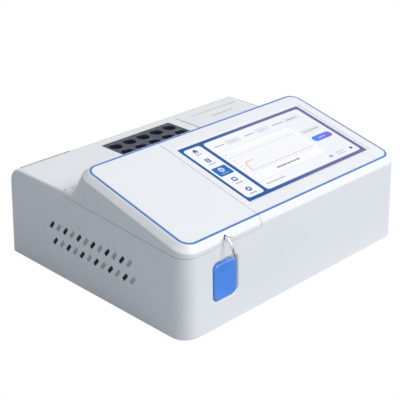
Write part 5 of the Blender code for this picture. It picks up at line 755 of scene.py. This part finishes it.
INK_BLUE, INK_GREY, PALE_GREY = (24, 108, 192), (128, 134, 150), (233, 235, 242)
CARD_WHITE, ICON_WHITE, CHOSEN_BLUE = (248, 250, 255), (244, 248, 255), (22, 108, 194)
SHEET_LEFT, SHEET_RIGHT, RULE_TONE = (250, 252, 255), (240, 245, 252), (236, 240, 249)
FRAME_BLUE, FRAME_VIOLET = (26, 90, 165), (110, 108, 165)
PILL_BLUE, PILL_VIOLET, PILL_WORDS = (70, 140, 255), (140, 98, 222), (226, 232, 255)
LABEL_GREY, SLATE_GREY, WORD_GREY = (138, 141, 154), (160, 166, 180), (150, 156, 170)


def frame_tone(x):
    """The page's backdrop turns from blue to violet along half a wave of a cosine."""
    share = (1 - cos(pi * min(max((x - 15) / 90, 0.0), 1.0))) / 2
    return [blue + (violet - blue) * share for blue, violet in zip(FRAME_BLUE, FRAME_VIOLET)]


for left, right in ((0, 15), (15, 37.5), (37.5, 60), (60, 82.5), (82.5, 105), (105, PAGE_WIDTH)):
    first, second = frame_tone(left), frame_tone(right)
    page_box(left, right, 0, PAGE_HEIGHT, 0, first, second, second, first)

# The menu at the left: a card with five icons, the third of which is chosen.
page_box(2.8, 23.2, 3.8, 84.5, 1, CARD_WHITE, radius=3.0)
page_box(27.2, 155, 3.8, 84.5, 1, SHEET_LEFT, SHEET_RIGHT, (241, 245, 252), SHEET_LEFT, radius=3.0)
page_shape([(13, 6.2), (16.2, 9.3), (9.8, 9.3)], 2, INK_BLUE)
page_box(10.8, 15.2, 9.0, 12.2, 2, INK_BLUE)
page_box(12.3, 13.7, 10.2, 12.2, 3, CARD_WHITE)
page_words(9.4, 16.4, 14.0, 15.4, 2, INK_GREY)
page_box(10.4, 15.6, 22.6, 28.4, 2, INK_BLUE, radius=0.8)
for row in range(3):
    page_box(11.4, 14.6, 23.8 + row * 1.5, 24.4 + row * 1.5, 3, CARD_WHITE)
page_words(9.0, 17.0, 30.4, 31.8, 2, INK_GREY)
page_box(4.8, 21.3, 37.0, 50.2, 2, CHOSEN_BLUE, radius=1.5)
page_disc(13, 42.0, 3.0, 3, ICON_WHITE)
page_disc(13, 42.0, 1.9, 4, CHOSEN_BLUE)
page_box(12.6, 13.4, 40.6, 43.4, 5, ICON_WHITE)
page_words(8.6, 17.4, 46.6, 47.9, 3, (150, 196, 240))
page_box(10.4, 15.6, 55.2, 60.6, 2, INK_BLUE, radius=0.6)
page_disc(13, 57.9, 1.5, 3, CARD_WHITE)
page_words(9.0, 17.0, 63.2, 64.6, 2, INK_GREY)
page_disc(13, 74.8, 3.0, 2, INK_BLUE)
page_disc(13, 74.8, 1.3, 3, CARD_WHITE)
page_words(9.0, 17.0, 80.0, 81.4, 2, INK_GREY)

# The sheet's head: three labels, each with a pill for its value. Two rules part head, middle and foot.
for left, right, pill_left, pill_right in ((33, 45, 47.5, 65), (72, 84, 87, 104), (110, 124, 126, 147)):
    page_words(left, right, 12.8, 14.2, 2, LABEL_GREY)
    page_box(pill_left - 0.5, pill_right + 0.5, 10.0, 17.2, 2, PALE_GREY, radius=1.4)
    value_tone = (190, 194, 206) if right < 120 else (120, 122, 138)
    page_words(pill_left + 4, pill_right - 5, 13.0, 14.2, 3, value_tone)
for top in (21.0, 71.6):
    page_box(27.2, 155, top, top + 0.8, 2, RULE_TONE)

# The chart: upright grid lines with their ticks, two level lines, the scale, the curve and its title.
page_box(30, 121, 23, 71, 3, (253, 254, 255), radius=1.2)
for number in range(24):
    x = 36.8 + number * 3.45
    page_box(x, x + 0.34, 28, 57, 4, (208, 198, 230))
    page_disc(x + 0.1, 59.5, 0.45, 4, (148, 140, 180))
page_box(36, 119, 32.8, 33.2, 5, (204, 199, 234))
page_box(36, 119, 56.8, 57.3, 5, (168, 158, 220))
for height in (28, 33, 38, 42, 47.5, 52):
    page_box(32, 34, height - 0.4, height + 0.4, 4, (170, 170, 186))
curve = [(37, 56.8), (38.2, 51), (39.2, 47), (40.4, 45.1), (43, 44.6), (50, 44.5)]
page_line(curve, 0.55, 6, (222, 62, 74))
page_words(60, 90, 64.2, 66.0, 4, (58, 58, 72))

# Beside the chart a grey pill and the blue one that starts a test, and the foot with its marks.
page_box(124.5, 150.5, 33.6, 40.4, 2, PALE_GREY, radius=1.4)
page_words(127, 148, 36.4, 37.8, 3, SLATE_GREY)
page_box(125.8, 151.5, 46.5, 54.5, 2, PILL_BLUE, PILL_VIOLET, PILL_VIOLET, PILL_BLUE, radius=3.9)
page_words(134, 143, 49.9, 51.1, 3, PILL_WORDS)
page_words(32.5, 56, 77.3, 78.7, 2, WORD_GREY)
page_box(117, 122, 76.5, 79.5, 2, (150, 186, 240), radius=0.6)
page_words(128, 139, 75.9, 77.0, 2, SLATE_GREY)
page_words(128, 139, 78.9, 80.0, 2, (175, 181, 193))
page_disc(148, 78, 1.7, 2, (74, 80, 104))

# All the shapes go into one mesh. A point's share of each corner's colour is the product of its
# nearness to that corner across and down the shape's own box.
points, faces, inks = [], [], []
page_scale = ((glass_high[0] - glass_low[0]) / PAGE_WIDTH, (glass_low[1] - glass_high[1]) / PAGE_HEIGHT)
for outline, level, colours in PAGE:
    low, high = outline.min(0), outline.max(0)
    u, v = ((outline - low) / np.maximum(high - low, 1e-6)).T
    corners = [np.array(colour) for colour in (colours if len(colours) == 4 else colours * 4)]
    shares = ((1 - u) * (1 - v), u * (1 - v), u * v, (1 - u) * v)
    ink = sum(corner * share[:, None] for corner, share in zip(corners, shares))
    flat = level_ring(outline * page_scale + (glass_low[0], glass_high[1]), GLASS_FACE + level * INK_LAYER)
    start = len(points)
    order = np.arange(len(outline))
    area = np.sum(flat[:, 0] * np.roll(flat[:, 1], -1) - np.roll(flat[:, 0], -1) * flat[:, 1])
    faces.append((start + (order if area > 0 else order[::-1])).tolist())
    points += ((on_panel(flat) + (0, 0, FOOT_LIFT)) * MM).tolist()
    inks += level_ring(ink, 1.0).tolist()
picture_mesh = bpy.data.meshes.new("page")
picture_mesh.from_pydata(points, [], faces)
layer = picture_mesh.color_attributes.new("ink", "FLOAT_COLOR", "POINT")
layer.data.foreach_set("color", np.array(inks).ravel())
picture = placed("page", picture_mesh)
LIT, lit_shader, shade = finish_of(
    "lit_page", (0.004, 0.004, 0.004), 0.2, coat=0.1, coat_roughness=0.03,
    Emission_Strength=0.97, Specular_IOR_Level=0.05,
)
ink = shade.node("VertexColor", {"layer_name": "ink"})
shade.tree.links.new(ink.socket, lit_shader.inputs["Emission Color"])
finished(picture, "lit_page", LIT, "casing", "display", weighted=False)


# Aspirate key. A blue moulded paddle that hangs on a pin behind the front wall and presses a micro
# switch; its face has a soft rolled edge, and its arm and post pass through the dish's floor.

KEY_BLUE = moulded("key_blue", linear(80, 143, 237), 0.34, grain=0.5, coat=0.35, coat_roughness=0.15)


def key_place(points):
    """The plate is drawn flat, with its face up, then stood up against the front wall."""
    points = np.asarray(points, float)
    return on_front(np.column_stack([points[:, 0], -points[:, 2], points[:, 1]]))


PLATE_HALF, PLATE_LOW, PLATE_HIGH = 12.7, 24.0, 56.1
ARM_HALF, ARM_START, ARM_REACH, ARM_RADIUS = 4.5, 0.7, 12.5, 4.0
plate_low, plate_high = (KEY_X - PLATE_HALF, PLATE_LOW), (KEY_X + PLATE_HALF, PLATE_HIGH)
key = solid(rounded_slab(plate_low, plate_high, 5.0, -2.2, 0.8, 1.4, key_place))
arm_left, arm_right, arm_end = KEY_X - ARM_HALF, KEY_X + ARM_HALF, (ARM_REACH, KEY_PIN_Z)
arm_high = (arm_right, ARM_REACH, KEY_PIN_Z + ARM_RADIUS)
arm = solid(block((arm_left, ARM_START, KEY_PIN_Z - ARM_RADIUS), arm_high, on_front))
fused(arm, solid(rod(arm_end, ARM_RADIUS, arm_left, arm_right, "x", 40, on_front)))
post = solid(rod((KEY_X, KEY_POST_Z), 2.0, ARM_START, 11.8, "y", 20, on_front))
fused(key, arm, post)
cut(key, solid(rod(arm_end, PIN_HOLE, KEY_X - 8, KEY_X + 8, "x", 16, on_front)))
finished(key, "aspirate_key_paddle", KEY_BLUE, "key", "key_blue", "aspirate_key")


# Suction needle. A thin stainless tube, bent over a mandrel: it leaves its holder under the cover,
# comes out through the slot, where a black sleeve round it is painted shade for the dark hole, and hangs
# in front of the key.


def smooth_line(points, pieces):
    """A smooth line through points: between two of them each coordinate follows the Catmull-Rom
    cubic of their neighbours."""
    points = np.asarray(points, float)
    ends = np.concatenate([[2 * points[0] - points[1]], points, [2 * points[-1] - points[-2]]])
    t = np.linspace(0, 1, pieces, endpoint=False)[:, None]
    runs = []
    for a, b, c, d in zip(ends, ends[1:], ends[2:], ends[3:]):
        cubic = 2 * b + (c - a) * t + (2 * a - 5 * b + 4 * c - d) * t**2 + (3 * b - a - 3 * c + d) * t**3
        runs.append(cubic / 2)
    return np.concatenate([*runs, points[-1:]])


def drawn_metal(name, colour, roughness, stretch=(1.0, 1.0, 1.0), wear=0.1, scale=300.0):
    """Metal with fine lines along one axis, from noise squeezed across it, and a slow change of gloss."""
    made, shader, shade = finish_of(name, colour, roughness, metallic=1.0)
    place = shade.node("TexCoord", out=3)
    squeezed = shade.node("Mapping", Vector=place, Scale=stretch)
    lines = shade.node("TexNoise", Vector=squeezed, Scale=scale, Detail=2.0)
    slow = shade.node("TexNoise", Vector=place, Scale=25.0, Detail=3.0)
    base = slow.mixed(tint(colour, 0.9), tint(colour, 1.06))
    gloss = roughness + (slow - 0.5) * wear + (lines - 0.5) * wear
    driven(shade, shader, base, gloss, shade.node("Bump", Strength=0.3, Distance=0.01 * MM, Height=lines))
    return made


STAINLESS = drawn_metal("stainless_tube", (0.78, 0.79, 0.81), 0.14, (1.0, 1.0, 0.15))
HOLE_SHADE = moulded("painted_hole_shade", (0.01, 0.01, 0.012), 0.6, depth=0.01)
straight = [(-92.8, NEEDLE_Z), (-98.967, NEEDLE_Z), (-105.133, NEEDLE_Z), (-108.9875, NEEDLE_Z)]
route = [(NEEDLE_X, y, z) for y, z in (*straight, (-112.8, 75.4), (-117.3, 70.5), (-119.6, 59.9))]
needle = solid(tube_skin(smooth_line(route, 8), 1.1, 20))
finished(needle, "suction_needle_tube", STAINLESS, "casing", "needle_steel", "suction_needle")
# A black sleeve in the slot round the needle: painted shade for the dark hole.
hole_shade_sleeve = solid(rod((NEEDLE_X, NEEDLE_Z), 1.7, 1.6, WALL + 1.4, "y", 24, on_front))
finished(hole_shade_sleeve, "needle_hole_shade_sleeve", HOLE_SHADE, "casing", "black_rubber")


# Incubator block. A milled aluminium block, dark anodised, that fills its opening in the deck; ten
# cuvette wells are bored and countersunk in two rows of five, and a heater film is stuck below it.

INCUBATOR_X, BLOCK_NEAR, BLOCK_FAR, BLOCK_FLOOR = -5.8, 52.7, 90.3, 43.7


def upright(points):
    return np.asarray(points, float)


WELL_PITCH, WELL_DEPTH, WELL_RADIUS = 17, 34, 6.2
block_low, block_high = (INCUBATOR_X - 42.3, BLOCK_NEAR), (INCUBATOR_X + 42.3, BLOCK_FAR)
incubator = solid(rounded_slab(block_low, block_high, 0.6, BLOCK_FLOOR, DECK_TOP, 0.4, upright, steps=3))
well = [(0, -WELL_DEPTH), (WELL_RADIUS - 0.5, -WELL_DEPTH), (WELL_RADIUS, 0.5 - WELL_DEPTH)]
well += [(WELL_RADIUS, -0.6), (6.8, 0.0), (7.4, 0.6), (0, 0.6)]
wells = []
for column in range(-2, 3):
    for row in (-WELL_PITCH / 2, WELL_PITCH / 2):
        centre = (INCUBATOR_X + column * WELL_PITCH, (BLOCK_NEAR + BLOCK_FAR) / 2 + row, DECK_TOP)
        wells.append(turned(well, centre, 48))
cut(incubator, solid(*wells))
ANODISED = drawn_metal("dark_anodised", linear(78, 84, 98), 0.55, (0.1, 1.0, 1.0), wear=0.12)
finished(incubator, "incubator_block_milled", ANODISED, "casing", "dark_alloy", "incubator_block")


# Printer door. It is a white moulding like the casing's deck, with a round hinge edge, a finger slit
# and a narrow mouth at its far edge where the paper leaves. A dark grey strip on the slit's floor is
# painted shade.

SLIT_SHADE = moulded("painted_slit_shade", (0.16, 0.165, 0.175), 0.6, depth=0.01)
carried(WHITE, "printer_door")
# Dark grey strip on the finger slit's floor: painted shade for the slit.
slit_shade_strip = solid(block((PAPER_X - 14.9, 73.3, DECK_TOP - 1.35), (PAPER_X + 14.9, 74.5, DECK_TOP - 0.4)))
finished(slit_shade_strip, "door_slit_shade_strip", SLIT_SHADE, "door", "grey_plastic")


# Sheet parts inside. Base plate, brackets and the incubator's stand are cut and folded from zinc
# plated steel, and screwed to the casing's posts and bosses.

GALVANISED = drawn_metal("galvanised_sheet", (0.56, 0.58, 0.6), 0.42, wear=0.2, scale=90.0)
carried(GALVANISED, "base_plate", "incubator_stand", "display_bracket", "key_bracket")


# Pins of the hinges and of the key. Ground steel rod, pressed into bosses under the deck and into the
# key's bracket.

BRIGHT = drawn_metal("turned_steel", (0.62, 0.63, 0.65), 0.24, (0.2, 1.0, 1.0))
carried(BRIGHT, "cover_hinge_pin", "door_hinge_pin", "key_pin")


# Rear plate and its sockets. Black painted sheet, held on the rear wall by four steel screws, with a
# moulded mains inlet, a rocker switch, and serial and USB ports in tinned shells.

PAINTED = moulded("black_paint", (0.022, 0.021, 0.023), 0.5, grain=0.9, depth=0.03, cloud=0.1)
DARK = moulded("dark_moulding", (0.03, 0.032, 0.036), 0.45, cloud=0.1)
TINNED = drawn_metal("tinned_shell", (0.58, 0.59, 0.6), 0.3, scale=150.0)
carried(PAINTED, "rear_plate")
carried(BRIGHT, *(f"rear_plate_screw_{number}" for number in range(1, 5)))
carried(DARK, "power_inlet", "power_rocker", "power_switch")
carried(TINNED, "serial_port", "usb_port")


# Fluid bay. A grey moulded tray under the hinged cover; in it a peristaltic pump, whose three rollers
# squeeze a silicone tube, and the needle's clear tubes, pushed over their ports.

GREY = moulded("grey_moulding", (0.36, 0.38, 0.40), 0.5)
PALE = moulded("pale_moulding", (0.68, 0.68, 0.66), 0.42)
SILICONE = moulded("silicone_tube", (0.74, 0.72, 0.64), 0.4, Subsurface_Weight=0.1)
CLEAR = moulded("clear_tube", (0.74, 0.79, 0.82), 0.18, coat=0.5, Transmission_Weight=0.55)
carried(GREY, "bay_tray")
carried(DARK, "needle_holder", "pump_head")
carried(PALE, "pump_rotor", "drain_fitting")
carried(TINNED, "pump_motor")
carried(SILICONE, "pump_tube")
carried(CLEAR, "suction_tube", "cell_tube", "drain_tube")


# Optical bench. Milled alloy blocks hold the lamp and a quartz flow cell; a motor turns the black
# filter wheel between them, and a small board behind the cell carries the detector.

ALLOY = drawn_metal("satin_alloy", (0.46, 0.48, 0.51), 0.36, (1.0, 0.15, 1.0))
QUARTZ = moulded("quartz", (0.82, 0.86, 0.88), 0.06, coat=1.0, Transmission_Weight=0.8)
LAMINATE = moulded("green_laminate", (0.02, 0.15, 0.075), 0.38, coat=0.4, cloud=0.12)
carried(ALLOY, "lamp_housing", "cell_block")
carried(QUARTZ, "lamp", "flow_cell")
carried(DARK, "filter_wheel")
carried(TINNED, "filter_motor")
carried(LAMINATE, "detector_board")


# Printer works. A moulded tray under the door holds a thermal paper roll on its spindle; the door
# carries a rubber platen that rests against the black print head.

RUBBER = moulded("black_rubber", (0.018, 0.018, 0.019), 0.78, grain=0.8, depth=0.06, cloud=0.2)
PAPER = moulded("thermal_paper", (0.86, 0.85, 0.82), 0.7, grain=0.25, depth=0.01)
carried(GREY, "printer_tray")
carried(PAPER, "paper_roll")
carried(RUBBER, "platen_roller")
carried(DARK, "print_head", "paper_spindle")


# Heater, boards, supply and fan. An amber film warms the incubator block from below; the boards are
# green laminate with their parts soldered on, and the fan is moulded in black.

FILM = moulded("heater_film", (0.48, 0.18, 0.05), 0.4, cloud=0.12)
carried(FILM, "heater_plate")
carried(LAMINATE, "main_board", "control_board", "power_supply")
carried(DARK, "fan_frame", "fan_rotor", "key_switch", "lcd_module")


# Feet. Four black rubber discs, stuck under the base plate near its corners.

carried(RUBBER, "foot_front_left", "foot_front_right", "foot_rear_left", "foot_rear_right")


# Studio: a table that the camera sees pure white and that throws a cool light up the walls, with a
# black card that only shines see, a white surround, one large soft lamp, and the photograph's camera.

TABLE_HALF = 6
corners = [(-1, -1), (1, -1), (1, 1), (-1, 1)]
table_mesh = bpy.data.meshes.new("table")
table_mesh.from_pydata([(x * TABLE_HALF, y * TABLE_HALF, 0) for x, y in corners], [], [(0, 1, 2, 3)])
table = placed("table", table_mesh)
WHITE_TABLE = bpy.data.materials.new("white_table")
WHITE_TABLE.use_nodes = True
shade = Shade(WHITE_TABLE.node_tree)
lit = shade.node("Emission", Color=(1.0, 1.0, 1.0))
bounce = shade.node("BsdfDiffuse", Color=(0.575, 0.61, 0.65))
x, y = [shade.node("SeparateXYZ", out=number, Vector=shade.node("TexCoord", out=3)) for number in range(2)]
card = shade.node("MapRange", i0=x, i1=-0.07, i2=-0.05) * shade.node("MapRange", i0=y, i1=-0.13, i2=-0.14)
dark = shade.node("BsdfDiffuse", Color=(0.01, 0.01, 0.012))
below = shade.node("MixShader", i0=card * shade.node("LightPath", out=3), i1=bounce, i2=dark)
both = shade.node("MixShader", i0=shade.node("LightPath"), i1=below, i2=lit)
shade.tree.links.new(both.socket, shade.tree.nodes["Material Output"].inputs["Surface"])
table_mesh.materials.append(WHITE_TABLE)

world = bpy.data.worlds.new("surround")
bpy.context.scene.world = world
world.use_nodes = True
shade = Shade(world.node_tree)
camera_ray, glossy_ray, clear_ray = [shade.node("LightPath", out=number) for number in (0, 3, 6)]
seen = shade.sum("MAXIMUM", shade.sum("MAXIMUM", camera_ray, glossy_ray), clear_ray)
sky = seen.mixed((0.342, 0.366, 0.396), (1.0, 1.0, 1.0))
shade.tree.links.new(sky.socket, world.node_tree.nodes["Background"].inputs["Color"])

LAMP_SIZE, LAMP_POWER, LAMP_DISTANCE = 2.2, 65.0, 2.8
lamp_data = bpy.data.lights.new("soft_lamp", "AREA")
lamp_data.shape, lamp_data.size = "DISK", LAMP_SIZE
lamp_data.energy = LAMP_POWER
lamp = placed("soft_lamp", lamp_data)
aim = Vector((0.25, -0.61, 0.75)).normalized()
lamp.location = aim * LAMP_DISTANCE
lamp.rotation_mode = "QUATERNION"
lamp.rotation_quaternion = aim.to_track_quat("Z", "Y")

CAMERA_PLACE = (-0.62458, -0.61507, 0.45441)
camera_data = bpy.data.cameras.new("camera")
camera_data.lens, camera_data.sensor_width = 94.83, 36.0
camera_data.clip_start, camera_data.clip_end = 0.01, 50.0
camera = placed("camera", camera_data)
forward = Vector((0.64095, 0.64095, -0.42232))
across = forward.cross(Vector((0.29863, 0.29863, 0.90645))).normalized()
up = across.cross(forward).normalized()
forward.normalize()
turn = Matrix((across, up, -forward)).transposed().to_4x4()
camera.matrix_world = Matrix.Translation(CAMERA_PLACE) @ turn
bpy.context.scene.camera = camera
bpy.context.scene.view_settings.view_transform = "Standard"
